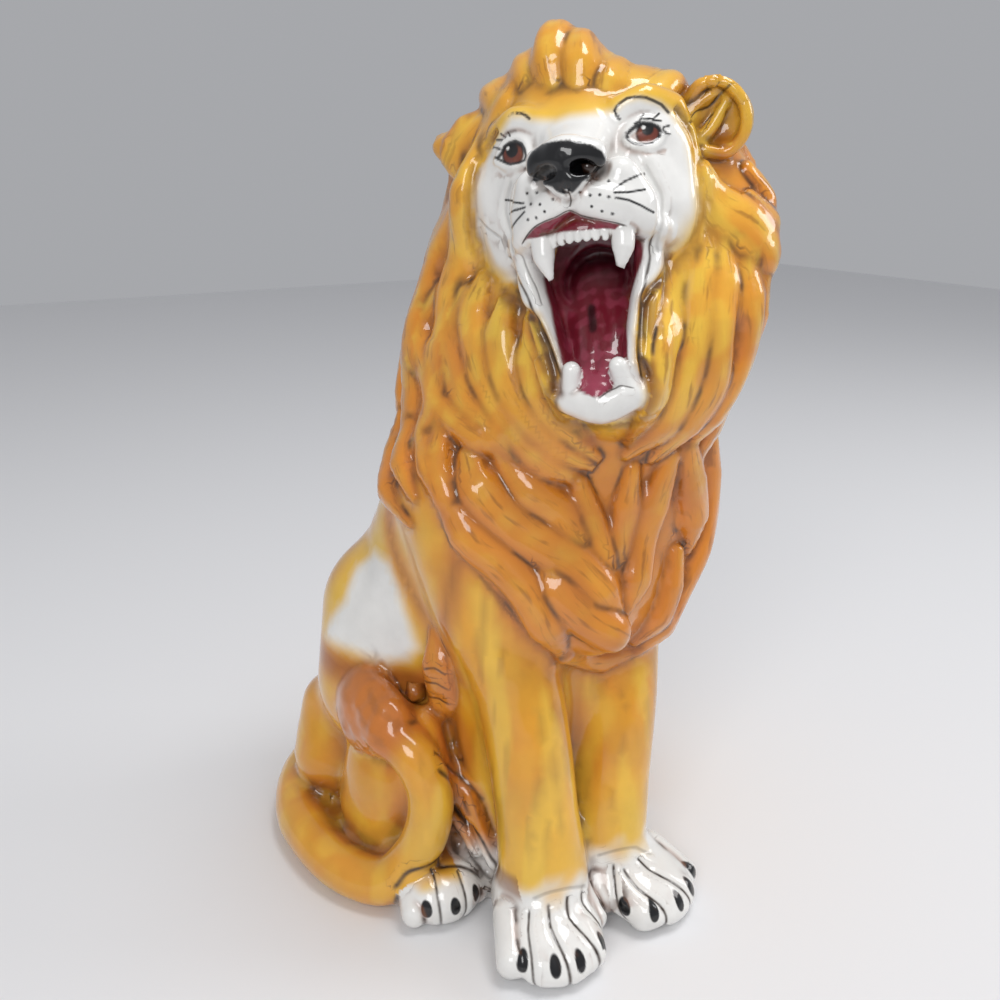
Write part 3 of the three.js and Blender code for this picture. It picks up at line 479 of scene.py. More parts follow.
# The mouth: the gape is cut out of the clay, and the tongue and teeth are laid in it.
roof = [(-1, -72, 50), (-1, -84, 20), (-1, -88, -16)]
lay_in_head(roof, [22, 26, 21], [13, 24, 20], 4, out=face_up, cut=True, kind="mouth")
between_jaws = [(-1, -84, 46), (-1, -112, 48), (0, -138, 58)]
lay_in_head(between_jaws, [25, 23, 17], [32, 27, 16], 4, cut=True, kind="mouth")
tongue = [(-1, -92, -16), (-1, -114, 8), (0, -134, 30), (0, -150, 49)]
tongue_out = np.array([face_direction(0, 0.6, 0.8), face_direction(0, 0.8, 0.6)])
lay_in_head(tongue, [22, 20, 17, 9], [10, 9, 8, 5], 5, out=tongue_out, kind="tongue")
lay_in_head([(-24, -58, 32), (-1, -53, 42), (22, -56, 35)], [5, 5.5, 5], 5, 3, kind="tooth")
for side in (-1, 1):
    fang = [(25, -56, 36), (25, -66, 40), (22, -80, 42)]
    lay_in_head(fang, [8, 7, 2], [8, 7, 2], 2, out=FRONT, side=side, kind="tooth")
    lay_in_head([(17, -150, 45), (15, -138, 48)], [7, 6], [7, 6], 2, out=FRONT, side=side, kind="tooth")


# The finer modelling: lids, nostrils, the cleft lip, the front teeth, the groove of the tongue, the
# rim of the ear, the trench between face and ruff, and the webs between the toes.
def on_front(places):
    """Places on the clay, given sideways and up in the head's frame and met from in front of it."""
    start = np.array([face(x, y, 120) for x, y in places])
    return follow(start, -face_forward, clay, close=0.2)


# Each eye: the almond opening, the lids, the iris and pupil as middle and radius, the spot of painted
# highlight in it, and the brow and lashes brushed over it, sideways and up in the head's frame.
right_eye = dict(
    opening=[
        (-56.5, -2.5), (-52.5, 0.5), (-50, 4), (-46.5, 5.5), (-42, 6), (-37.5, 3.5),
        (-35.5, 0), (-34.5, -4), (-35.5, -6.5), (-40, -7.5), (-47, -7.5), (-51.5, -5.5),
    ],
    upper_lid=[(-58, -4), (-54, 2.5), (-48.5, 7), (-41, 8), (-35, 4.5), (-32.5, -4)],
    lower_lid=[(-32.5, -5), (-36, -9), (-43, -10.3), (-50, -9.3), (-58, -4.5)],
    iris=((-44.5, -1.5), 8.0), pupil=((-45, 1.0), 4.6), light=(-48, 2.8),
    brow=[(-44, 22.5), (-40, 23), (-35.5, 22), (-33, 20.5), (-30.5, 18)],
    lashes=[
        [(-53, 12.5), (-49, 9.5)], [(-47, 12.5), (-45.5, 10)], [(-57.5, 9.5), (-52, 8.5)],
        [(-62, 6), (-53.5, 3)], [(-64, 0), (-56.5, -2)],
    ],
)
left_eye = dict(
    opening=[
        (30, -1.5), (33, 1), (36.5, 3), (40, 4), (45, 3), (49, 0.5),
        (51, -3), (48.5, -6.5), (45, -8.5), (39.5, -8.5), (34.5, -7), (31.5, -4.5),
    ],
    upper_lid=[(28.5, -2.5), (33.5, 3), (40, 6), (46.5, 4.8), (52.5, -2.5)],
    lower_lid=[(29, -4.5), (35.5, -9.5), (44, -10.8), (49.8, -8), (52.8, -3.5)],
    iris=((43, -2.2), 7.0), pupil=((43, 0), 3.5), light=(40.5, 1.6),
    brow=[
        (24, 14), (25.5, 16), (28, 18), (32, 20), (37, 20), (43, 19), (47.5, 16.5), (52, 13.5), (55.5, 8.5),
    ],
    lashes=[
        [(41, 6.5), (47, 6), (50, 8.5)], [(46.5, 5), (51, 4)], [(35.5, 4.5), (38.5, 5.5), (41, 9.5)],
        [(52.5, 0), (55.5, 0.5)], [(52, -1.5), (53.5, -3.5), (55.5, -4.5)], [(24, 14), (25, 11), (27, 7.5)],
    ],
)
eyes = [right_eye, left_eye]
for side in (-1, 1):
    lay_in_head([(40, -4, -15), (50, -4, -22)], [25, 22], [14, 14], 10, side=side)
    beside_nose = [(34, -16, 0), (42, -34, -1), (47, -54, -6)]
    lay_in_head(beside_nose, [13, 15, 13], [9, 10, 9], 10, side=side)
    cheek = [(50, -20, -16), (54, -44, -14), (52, -62, -14)]
    lay_in_head(cheek, [16, 16, 14], 12, 12, side=side)
upper_thick, lower_thick = [1.2, 2.0, 2.2, 2.0, 1.2], [1.2, 1.7, 1.2]
for eye in eyes:
    upper, lower = on_front(eye["upper_lid"]), on_front(eye["lower_lid"])
    lay(upper - 0.3 * face_forward, upper_thick, upper_thick, face_forward, 3, kind="lid")
    lay(lower - 0.6 * face_forward, lower_thick, lower_thick, face_forward, 3, kind="lid")

lay_in_head([(-18, -12, 46), (-3, -9, 52), (13, -12, 48)], [7, 9, 7], [7, 9, 7], 4, out=face_up, kind="nose")
lay_in_head([(-3, -16, 53), (-3, -26, 54)], [15, 6], [8, 6], 4, kind="nose")
for side in (-1, 1):
    lay_in_head([(side * 27 - 1, -25, 30), (side * 34, -40, 25)], 12, 12, 6)
    wing = [(side * 16 - 3, -9, 50), (side * 18 - 3, -16, 47), (side * 11 - 3, -20, 53)]
    lay_in_head(wing, [4, 4.5, 3.5], [4, 4.5, 3.5], 5, kind="nose")
    nostril = [(side * 9 - 3, -17, 68), (side * 11 - 3, -17, 54), (side * 18 - 3, -19, 46)]
    lay_in_head(nostril, [6, 5.5, 3.5], [4, 4, 2.5], 4, out=face_up, cut=True, kind="nose")
nose_cleft, lip_cleft = [(-3, -10, 68), (-3, -28, 66)], [(-2, -29, 62), (-2.5, -41, 56)]
lay_in_head(nose_cleft, 1.5, 4, 5, cut=True, kind="nose")
lay_in_head(lip_cleft, 1.4, 3, 3, cut=True)
gums = [-56.2, -55.4, -54.8, -54.6, -54.8, -55.2, -55.8]
for place in zip(np.linspace(-17.5, 15, len(gums)), gums):
    root = on_front([place])[0] - 1.2 * face_forward
    lay([root, root - 3.0 * face_up], [2.9, 2.6], [2.2, 1.8], face_forward, 0.8, kind="tooth")
tongue_groove = [(0, -104, 20), (0, -138, 46)]
lay_in_head(tongue_groove, 1.5, 3, 4, out=face_direction(0, 0.7, 0.7), cut=True, kind="tongue")
for n in range(3):
    ridge = [(-20, -66 - 6 * n, 8), (0, -62 - 6 * n, 4), (20, -66 - 6 * n, 8)]
    lay_in_head(ridge, 2, 2, 3, out=FRONT, kind="mouth")
lay_in_head([(79, 0, -42), (87, 1, -43)], [13, 17], [9, 11], 2, out=ear_out, cut=True, kind="cup")
rim = [
    (64, 16, -50), (76, 25, -47), (90, 23, -47), (101, 8, -48),
    (100, -9, -49), (88, -20, -49), (74, -17, -46),
]
lay_in_head(rim, 4.2, 4.2, 2, out=ear_out)
lay_in_head([(68, -12, -47), (78, -4, -50), (90, 12, -52)], [5, 5, 3], [5, 5, 3], 3, out=ear_out, kind="cup")

cheek_folds = [
    [(-40, -12), (-49, -19.5), (-52.5, -27.5), (-54.5, -35.5), (-53, -43.5), (-51, -52), (-50.5, -60.5)],
    [(36.5, -15), (41, -23), (45, -31.5), (48.5, -41), (48.5, -51), (46.5, -61.5), (43, -71.5)],
]
for fold in cheek_folds:
    line = on_front(fold) + 0.4 * face_forward
    lay(line, [0.6, 1.2, 1.6, 1.2, 0.8], [0.6, 1.1, 1.3, 1.1, 0.6], face_forward, 8, cut=True)
face_edges = [
    [
        (-57, 14), (-70, 2), (-77.5, -4.5), (-83, -30), (-87, -55.5), (-79, -75), (-62.5, -91),
        (-38, -106), (-33, -117), (-29, -128), (-26, -140), (-27, -150),
    ],
    [
        (60.5, 9), (68.5, -8), (70.5, -34.5), (70, -56.5), (62, -74), (44.5, -90), (33.5, -101),
        (31.5, -112), (30.5, -122), (30, -135), (31, -147),
    ],
]
for edge in face_edges:
    trench = on_front(edge) + 0.5 * face_forward
    lay(trench, [1.2, 1.8, 2, 2, 2, 2, 2.2, 2.4, 1.6], 4, face_forward, 4, cut=True, kind="trench")
for side in (-1, 1):
    lay([paw(side, 2, 10, 30), paw(side, 2, 42, 21)], [34, 36], [22, 16], UP, 10, kind="paw")

# The skin. A copy of the solid's skin is merged and spaced anew, divided where the modelling is
# fine, and drawn onto the clay.
SKIN = 6.9  # the spacing of the skin before it is divided
SINK = 2.5  # how far a point is drawn in or out at one stroke
STANDING = 0.5  # the height below which a point stands on the floor


def rework(mesh, change):
    """Changes the faces of a mesh by a function of its bmesh."""
    work = bmesh.new()
    work.from_mesh(mesh)
    change(work)
    work.to_mesh(mesh)
    work.free()


skin = bpy.data.objects.new("lion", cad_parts["lion_figure"].data.copy())
bpy.context.scene.collection.objects.link(skin)
rework(skin.data, lambda work: bmesh.ops.remove_doubles(work, verts=work.verts, dist=1e-6))
remesh = skin.modifiers.new("even spacing", "REMESH")
remesh.mode = "VOXEL"
remesh.voxel_size = SKIN / MILLIMETRES
made = bpy.data.meshes.new_from_object(skin.evaluated_get(bpy.context.evaluated_depsgraph_get()))
skin.modifiers.clear()
skin.data = made


def read(items, name, kind=float, width=3):
    """A value of every vertex, edge or face, in rows of the given width."""
    values = np.empty(len(items) * width, kind)
    items.foreach_get(name, values)
    return values.reshape(-1, width)


def places_of(mesh):
    return read(mesh.vertices, "co") * MILLIMETRES


def edges_of(mesh):
    return read(mesh.edges, "vertices", np.int32, 2)


def place_all(mesh, p):
    """Puts the points of a mesh where p says, in millimetres, and none below the floor."""
    p[:, 2] = np.maximum(p[:, 2], 0)
    mesh.vertices.foreach_set("co", (p / MILLIMETRES).ravel())
    mesh.update()


def neighbours_mean(values, edges):
    """The mean of the neighbours' values at each point."""
    count = np.maximum(np.bincount(edges.ravel(), minlength=len(values)), 1)
    a, b = edges.T
    columns = values.reshape(len(values), -1).T
    total = [np.bincount(a, c[b], len(values)) + np.bincount(b, c[a], len(values)) for c in columns]
    return (np.column_stack(total) / count[:, None]).reshape(values.shape)


def draw_on(mesh, strokes, chosen=None):
    """Draws a mesh onto the clay, and slides its points apart between the strokes."""
    edges = edges_of(mesh)
    for n in range(strokes):
        p, normal = places_of(mesh), read(mesh.vertices, "normal")
        moved = np.arange(len(p)) if chosen is None else np.flatnonzero(chosen(p))
        standing = p[:, 2] < STANDING
        if n:
            slide = neighbours_mean(p, edges) - p
            slide -= (slide * normal).sum(axis=1, keepdims=True) * normal
            p[moved] += 0.5 * slide[moved]
        p[moved] -= np.clip(depth(p[moved], clay), -SINK, SINK)[:, None] * normal[moved]
        p[standing, 2] = 0
        place_all(mesh, p)


def divide(mesh, chosen):
    """Divides the chosen four-sided faces once each way."""
    taken = np.flatnonzero(chosen(read(mesh.polygons, "center") * MILLIMETRES))

    def cut(work):
        work.faces.ensure_lookup_table()
        faces = [work.faces[n] for n in taken if len(work.faces[n].verts) == 4]
        edges = {edge for f in faces for edge in f.edges}
        bmesh.ops.subdivide_edges(work, edges=list(edges), cuts=1, use_grid_fill=True)

    rework(mesh, cut)


def nearest_roll(p):
    """The roll each point lies on, the next one, the share along, the place across, and the lead."""
    if len(p) > BATCH:
        parts = [nearest_roll(p[n:n + BATCH]) for n in range(0, len(p), BATCH)]
        return [np.concatenate(part) for part in zip(*parts)]
    p = p.astype(np.float32)
    best = np.full((2, len(p)), 1e9)
    which = np.zeros((2, len(p)), int)
    share, across = np.zeros(len(p)), np.zeros(len(p))
    for n, roll in enumerate(clay):
        near = within(p, roll["low"], roll["high"])
        if not len(near):
            continue
        d, t, v = measure(roll, p[near])
        d = np.abs(d)
        between = (d >= best[0, near]) & (d < best[1, near])
        second = near[between]
        best[1, second], which[1, second] = d[between], n
        closer = d < best[0, near]
        these = near[closer]
        best[1, these], which[1, these] = best[0, these], which[0, these]
        best[0, these], which[0, these] = d[closer], n
        share[these], across[these] = t[closer], v[closer]
    return which[0], which[1], share, across, best[1] - best[0]


def of_rolls(name):
    return np.array([roll[name] for roll in clay])


roll_kinds = of_rolls("kind")


def in_face(p):
    """Where points are in the head's frame."""
    return (p - EYES) @ face_axes.T


# What is painted with a brush, in the head's own places sideways and up.
whiskers = [
    [(-53.5, -29), (-44, -30.5), (-33, -32.5)], [(-51, -38), (-41, -36), (-32, -35)],
    [(-45.5, -46.5), (-39.5, -42), (-32.5, -37.5)], [(24, -32), (30.5, -28.5), (39, -26)],
    [(24.5, -34), (32, -35), (41, -35)], [(25, -37), (32, -39.5), (38, -43.5), (44.5, -49)],
]
freckles = [
    (-30, -27), (-23.5, -27.5), (-27.5, -33.5), (-21, -34.5), (-18.5, -39), (-30.5, -42.5), (-24.5, -42),
    (-12, -32.5), (5, -31), (10.5, -33.5), (16, -34), (21, -27), (21, -36), (10.5, -40), (16, -43.5),
    (22, -46), (10.5, -25),
]
grey_strokes_by_nose = [[(-29.5, -25), (-27, -33.5)], [(18, -19), (14, -23.5)]]
lip = [
    (-37, -55), (-33, -51.5), (-27, -47.5), (-19.5, -45), (-12, -43.5), (-6.5, -41.5), (-3.5, -41),
    (-0.5, -43.5), (5.5, -46.5), (13.5, -49), (21, -51.5), (25.5, -53), (21.5, -55.5), (15, -54), (7, -53.5),
    (-1, -53), (-9.5, -52.5), (-19, -53), (-27, -54), (-34, -54),
]


def near_line(q, points):
    """How far places, in a plane or in space, are from a line through the points."""
    points = np.asarray(points, float)
    best = np.full(len(q), 1e9)
    for a, b in zip(points[:-1], points[1:]):
        edge = b - a
        t = np.clip((q - a) @ edge / max(edge @ edge, TINY), 0, 1)
        best = np.minimum(best, np.linalg.norm(q - a - t[:, None] * edge, axis=1))
    return best


def inside(q, outline):
    """How far places in a plane are inside a closed outline, negative outside."""
    outline = np.asarray(outline, float)
    closed = np.vstack([outline, outline[:1]])
    x, y = q.T
    crossed = np.zeros(len(q), bool)
    for (ax, ay), (bx, by) in zip(closed[:-1], closed[1:]):
        spans = (ay > y) != (by > y)
        crossed ^= spans & (x < (bx - ax) * (y - ay) / (by - ay + 1e-12) + ax)
    return np.where(crossed, 1, -1) * near_line(q, closed)


# The middle of each foot whose claws show, then the claws.
clawed_feet = [
    [(-50, -112), (-92, -165), (-75, -181), (-57, -185), (-35, -173), (-14, -150)],
    [(32, -104), (7, -152), (20, -173), (45, -178), (65, -171), (76, -151)],
    [(-108, -20), (-130, -85), (-109, -89), (-89, -85)],
]
CLAW_WIDTH, CLAW_HEIGHT = 4.4, 7.2  # halves
CLAW_MIDDLE = 24  # over the floor
CLAW_REACH = 12  # ahead of its place and behind it


def claw_distance(p):
    """How far points are from the nearest claw, as a share of its size."""
    best = np.full(len(p), 9.0)
    for middle, *claws in clawed_feet:
        for claw in claws:
            ahead = unit(np.subtract(claw, middle))
            beside = np.array([-ahead[1], ahead[0]])
            off = p[:, :2] - claw
            size = np.hypot(off @ beside / CLAW_WIDTH, (p[:, 2] - CLAW_MIDDLE) / CLAW_HEIGHT)
            best = np.minimum(best, np.where(np.abs(off @ ahead) < CLAW_REACH, size, 9))
    return best


def fine(p):
    """Where the modelling or the painting is fine: the head's front, the mane and the paws."""
    x, y, z = p.T
    q = in_face(p)
    head = (np.linalg.norm(q - (0, -60, 0), axis=1) < 125) & (q[:, 2] > -45)
    ear = np.linalg.norm(q - (84, 0, -50), axis=1) < 40
    paws = (z < 80) & (y < -50)
    feathered = (x < -68) & (y < 6) & (z < 230)
    kinds = roll_kinds[nearest_roll(p)[0]]
    hair = np.isin(kinds, ("lock", "mane", "tooth", "tongue", "mouth")) & (y < 20)
    return hair | head | ear | paws | feathered


def finer(p):
    """The face, the ear, the toes and the wrists."""
    x, y, z = p.T
    q = in_face(p)
    outline = [(-62, 22), (60, 22), (56, -70), (36, -172), (-30, -172), (-52, -90)]
    head = (inside(q[:, :2], outline) > 0) & (q[:, 2] > -30)
    toes = (((y < -128) & (x < 76)) | ((y < -62) & (x < -82))) & (z > 5) & (z < 46)
    wrists = (y < -124) & (z > 44) & (z < 74)
    ear = (np.linalg.norm(q - (84, 0, -46), axis=1) < 31) & (q[:, 2] > -56)
    return head | toes | wrists | ear


def finest(p):
    """The painted eyes and whiskers, the nose, the teeth and the claws."""
    q = in_face(p)
    side, up, ahead = q.T
    eyes = (np.abs(np.abs(side) - 45) < 15) & (np.abs(up) < 20)
    muzzle = (np.abs(side) < 36) & (up < -6) & (up > -66) & (ahead > 25)
    lines = [*whiskers, right_eye["brow"], left_eye["brow"]]
    marks = np.min([near_line(q[:, :2], line) for line in lines], axis=0) < 2
    return ((ahead > -14) & (eyes | muzzle | marks)) | (claw_distance(p) < 1.3)


p, edges = places_of(skin.data), edges_of(skin.data)
for _ in range(2):
    p[:, :2] += 0.5 * (neighbours_mean(p, edges) - p)[:, :2]
    above = p[:, 2] > 0.5 * SKIN
    p[above, 2] += 0.5 * (neighbours_mean(p, edges) - p)[above, 2]
p[~above, 2] = 0
place_all(skin.data, p)
draw_on(skin.data, 6)
divide(skin.data, fine)
draw_on(skin.data, 3)
divide(skin.data, finer)
draw_on(skin.data, 3, finer)
divide(skin.data, finest)
draw_on(skin.data, 2, finest)
rework(skin.data, lambda work: bmesh.ops.triangulate(work, faces=work.faces))
skin.data.update()

# The hair of each lock is combed in grooves along it, and rolls that meet at a sharp crease are
# found, for the dark wash, partly painted shade, that gathers there, and the painted shade beside it.
COMB_DEPTH = 0.9
STRAND = 7  # the half width of a lock for each of its strands
SHARP = 5  # the softest joint that still leaves a crease


def rise(x, low, high):
    """A soft step from 0 at the low value to 1 at the high one."""
    t = np.clip((x - low) / (high - low), 0, 1)
    return t * t * (3 - 2 * t)


def fall(x, low, high):
    return 1 - rise(x, low, high)


def shut_in(h):
    """How much of the air at a height over the skin is taken by other clay, from 0 to 1."""
    return np.clip(1 - depth(p + h * normal, clay) / h, 0, 1)


p, edges = places_of(skin.data), edges_of(skin.data)
normal = read(skin.data.vertices, "normal")
which, other, share, across, lead = nearest_roll(p)
kinds = roll_kinds[which]
hair = kinds == "lock"
lock_width = np.array([roll["wide"].max() for roll in clay])[which]
roll_lengths = [np.linalg.norm(np.diff(roll["line"], axis=0), axis=1).sum() for roll in clay]
along = share * np.array(roll_lengths)[which]
laid = ~of_rolls("cut")
sharp = (of_rolls("soft")[np.maximum(which, other)] <= SHARP) & laid[which] & laid[other]
meeting = sharp * fall(lead, 2.5, 6.0) * rise(shut_in(4.0), 0.02, 0.12)
side_of = np.where(which > other, 1, -1) * np.minimum(lead, 8)
combed = np.where(hair, rise(lead, 0.5, 3.5), 0)
strands = np.round(lock_width / STRAND)
wander = 0.5 * np.sin(along / 17 + which * 2.1) + 0.25 * np.sin(along / 7 + which)
comb = np.abs(np.sin(np.pi * (strands * (across + 1) / 2 + 0.3 * wander)))
p = p - normal * (COMB_DEPTH * combed * (1 - comb**0.6))[:, None]
place_all(skin.data, p)

# Dark lines are pressed and brushed in the folds, about the mouth and between the toes. Each has a
# strength, a half width and its places, which for the face are sideways and up in the head's frame.
LINE_REACH = 14  # how far from a line the points are looked at
LINE_DEPTH = 0.8
flank_lines = [
    [0.7, 1.5, [(-102, -33, 200), (-98, -41, 203), (-92, -47, 199)]],
    [0.7, 1.5, [(-102, -32, 188), (-97, -41, 190), (-91, -47, 186)]],
    [0.7, 1.5, [(-99, -32, 174), (-95, -40, 176), (-89, -45, 172)]],
    [0.6, 2.4, [(-106, -59, 142), (-83, -52, 110), (-72, -68, 94)]],
    [0.8, 2.6, [(-107, -68, 131), (-87, -51, 81), (-79, -73, 66), (-71, -88, 43)]],
    [0.7, 2.2, [(-90, -52, 66), (-82, -63, 43), (-70, -79, 24)]],
    [0.8, 2.6, [(-144, -59, 33), (-135, -64, 46), (-113, -68, 50), (-91, -72, 43), (-74, -78, 26)]],
]
paw_lines = [
    [0.3, 2.0, [(-68, -143, 52), (-58, -147, 56), (-42, -150, 55), (-26, -146, 47)]],
    [0.3, 2.0, [(0, -130, 54), (12, -135, 57), (30, -137, 54), (42, -138, 45)]],
    [0.8, 1.5, [(-78, -148, 46), (-82, -155, 38), (-88, -173, 22), (-88, -176, 6)]],
    [0.9, 1.7, [(-62, -152, 47), (-67, -163, 39), (-67, -184, 25), (-66, -188, 5)]],
    [0.9, 1.7, [(-46, -152, 48), (-50, -162, 40), (-43, -181, 27), (-40, -186, 5)]],
    [0.9, 1.7, [(-30, -147, 47), (-33, -155, 40), (-23, -170, 22), (-20, -172, 5)]],
    [0.9, 1.6, [(8, -137, 44), (4, -145, 34), (0, -156, 20), (0, -160, 5)]],
    [0.9, 1.6, [(14, -145, 44), (17, -157, 35), (29, -175, 22), (30, -178, 5)]],
    [0.9, 1.6, [(30, -142, 46), (36, -152, 38), (56, -169, 18), (58, -172, 5)]],
    [0.8, 1.6, [(-117, -70, 46), (-119, -80, 36), (-120, -88, 20), (-120, -90, 5)]],
    [0.8, 1.6, [(-97, -72, 44), (-99, -82, 34), (-100, -90, 20), (-100, -92, 5)]],
]
lip_line = [(-38, -56), *lip[1:11], (26.5, -53.5)]
face_lines = [
    [0.9, 0.8, lip_line],
    [0.8, 0.7, [(-3, -29), (-1, -32), (-2, -36), (-3.5, -40)]],
    [0.75, 0.8, [(4, -154.5), (10, -151.5), (15.5, -150), (21.5, -151.5)]],
    [0.45, 1.0, [(-42.5, -65.5), (-39.5, -76.5), (-35.5, -86.5), (-33, -95)]],
    *([0.22, 1.8, fold[1:]] for fold in cheek_folds),
    [0.8, 1.8, [(-56, -67), (-43, -90.5), (-37, -105), (-31.5, -117), (-27.5, -128), (-24, -139)]],
    [0.8, 1.8, [
        (44, -63), (38.5, -78.5), (35, -89.5), (31.5, -106), (29.5, -119.5), (28.5, -135), (29, -146),
    ]],
    [0.3, 1.6, [(-78, -39.5), (-71.5, -45.5), (-65.5, -49.5), (-62, -52)]],
    [0.8, 1.4, [(68.5, 1.5), (79, 10), (92, 20)]],
]
brushed = [*flank_lines, *paw_lines]
for strength, wide, line in face_lines:
    brushed.append([strength, wide, on_front(line)])
off_line = side_of.astype(float)
near_share = meeting * ~np.isin(kinds, ("mouth", "tongue", "nose", "eye", "lid", "tooth"))
line_strength = np.zeros(len(p))
on_brushed = np.zeros(len(p), bool)
groove = np.zeros(len(p))


def from_line(chosen, line):
    """How far the chosen points are from a line, sideways along the skin, and past its ends."""
    best = np.full(len(chosen), 1e9)
    sideways, beyond = np.zeros(len(chosen)), np.zeros(len(chosen))
    for a, b in zip(line[:-1], line[1:]):
        course = unit(b - a + TINY)
        t = np.clip((p[chosen] - a) @ course, 0, np.linalg.norm(b - a))
        r = p[chosen] - a - t[:, None] * course
        far = np.linalg.norm(r, axis=1)
        nearer = far < best
        best[nearer] = far[nearer]
        sideways[nearer] = (r * unit(np.cross(course, normal[chosen]) + TINY)).sum(axis=1)[nearer]
        beyond[nearer] = np.abs(r @ course)[nearer]
    return best, sideways, beyond


for strength, wide, points in brushed:
    line = smooth_line(points)
    close = within(p, line.min(axis=0) - LINE_REACH, line.max(axis=0) + LINE_REACH)
    off, sideways, beyond = from_line(close, line)
    reach = max(1, wide / 1.6)
    share_near = fall(np.abs(sideways), 2.6 * reach, 5.5 * reach) * fall(beyond, 0.5, 4)
    share_near *= fall(off, 6 + 3 * reach, 9 + 3 * reach)
    taken = share_near > np.where(on_brushed[close], near_share[close] + 1e-3, 0.02)
    these = close[taken]
    off_line[these] = 3 * sideways[taken] / wide
    near_share[these] = share_near[taken]
    line_strength[these] = strength
    on_brushed[these] = True
    pressed = strength * wide * np.exp(-(sideways / (1.2 + wide)) ** 2) * share_near
    groove[close] = np.maximum(groove[close], pressed)
p = p - normal * (LINE_DEPTH * groove)[:, None]
place_all(skin.data, p)

# The painting. The amber coat is airbrushed first, then the orange of the mane with yellow lights,
# the white of the face, flank and paws, painted shade in the hollows, folds and mouth and beside the
# jaw, and a dark wash, partly painted shade, that stays in every groove. Marks in black are brushed on last.
AMBER = (0.74, 0.34, 0.022)
YELLOW = (0.84, 0.54, 0.060)
ORANGE = (0.74, 0.25, 0.018)
RUSSET = (0.57, 0.175, 0.030)
BROWN = (0.24, 0.080, 0.014)
RUSSET_SHADE = (0.27, 0.075, 0.010)
# a dark brown-black for the wash, the brushed lines and painted shade
WASH_AND_SHADE = (0.035, 0.020, 0.012)
WHITE = (0.82, 0.81, 0.78)
BURGUNDY = (0.17, 0.010, 0.022)
PINK = (0.34, 0.045, 0.085)
MOUTH_DEPTH_SHADE = (0.05, 0.004, 0.010)
BLACK = (0.004, 0.004, 0.005)
IRIS = (0.15, 0.032, 0.018)
WAVES = 7  # added up to one pattern of spots
paint = np.tile(AMBER, (len(p), 1))
waves = np.random.default_rng(7)
# how closed in each point is at three sizes, for the dark wash and the painted shade of grooves and hollows
narrow, broad, wide_hollow = shut_in(3.0), shut_in(11.0), shut_in(22.0)
q = in_face(p)
flat, up, ahead = q[:, :2], q[:, 1], q[:, 2]
x, y, height = p.T


def airbrush(colour, mask):
    """Sprays a colour over the paint, as much as the mask says at each point."""
    paint[:] += (np.array(colour) - paint) * np.clip(mask, 0, 1)[:, None]


def stroke(colour, strength, line, low, high, behind):
    """Brushes a line on what lies further ahead in the head than the place behind it."""
    airbrush(colour, strength * fall(near_line(flat, line), low, high) * (ahead > behind))


def mottle(size, tall=1):
    """Soft spots of about the given size, from 0 to 1, drawn out upwards where tall is more than one."""
    total = np.zeros(len(p))
    for _ in range(WAVES):
        way = unit(waves.normal(size=3)) * 2 * np.pi / size * waves.uniform(0.6, 1.5) / (1, 1, tall)
        total += np.cos(p @ way + waves.uniform(0, 6.3))
    return 0.5 + 0.5 * np.clip(total / math.sqrt(WAVES), -1, 1)


mane = np.isin(kinds, ("lock", "mane", "trench")).astype(float)
for _ in range(3):
    mane = 0.5 * mane + 0.5 * neighbours_mean(mane, edges)
spots, patches = mottle(26), mottle(60)
ridge = np.where(hair, (1 - np.abs(np.clip(across, -1, 1))) ** 1.5, 0.3)
of_coat = 1 - mane

# the coat
airbrush(YELLOW, 0.4 * rise(patches, 0.3, 1.0) * of_coat)
airbrush(ORANGE, 0.22 * rise(spots, 0.4, 1.0) * of_coat)
airbrush(RUSSET, 0.35 * fall(height, 120, 420) * rise(patches, 0.1, 0.9) * of_coat)
# painted shade in the coat's hollows: russet in the wide ones, brown in the broad ones
airbrush(RUSSET, 0.6 * rise(wide_hollow, 0.08, 0.6) * of_coat)
airbrush(BROWN, 0.7 * rise(broad, 0.15, 0.75) * of_coat)
legs = fall(y, -74, -50) * (height < 300) * of_coat
airbrush(YELLOW, 0.6 * legs * rise(mottle(24, tall=5), 0.4, 0.85))
airbrush(YELLOW, 0.55 * legs * fall(height, 70, 150))
airbrush(BROWN, 0.3 * legs * rise(mottle(16, tall=4), 0.6, 0.95) * rise(height, 60, 110))
airbrush(YELLOW, 0.35 * (1 - legs) * of_coat * rise(mottle(40), 0.45, 0.9))

# the mane, yellow round the face and on the ridges of its locks
airbrush(ORANGE, 0.9 * mane)
ring = inside(flat, [(-70, 10), (55, 25), (72, -30), (58, -90), (36, -150), (-36, -150), (-75, -80)])
near_face = fall(np.abs(ring), 5, 55) * rise(ahead, -70, -20) * (up > -190)
airbrush(RUSSET, mane * 0.6 * rise(patches, 0.45, 0.95) * (height < 470))
airbrush(YELLOW, mane * ridge * (0.35 + 0.4 * rise(spots, 0.4, 0.8)) * (0.4 + 0.6 * rise(height, 200, 480)))
airbrush(YELLOW, mane * 0.75 * near_face * (0.45 + 0.55 * rise(spots, 0.2, 0.7)))
airbrush(RUSSET, mane * 0.35 * fall(height, 300, 480))
# painted shade in the mane's hollows, russet and then brown where they close in
airbrush(RUSSET, mane * 0.45 * rise(broad, 0.12, 0.55))
airbrush(BROWN, mane * 0.65 * rise(broad, 0.45, 1.0))
crown_top = rise(up, 22, 40) * mane
airbrush(AMBER, 0.5 * crown_top)
airbrush(YELLOW, 0.5 * crown_top * ridge * rise(mottle(20), 0.3, 0.8))

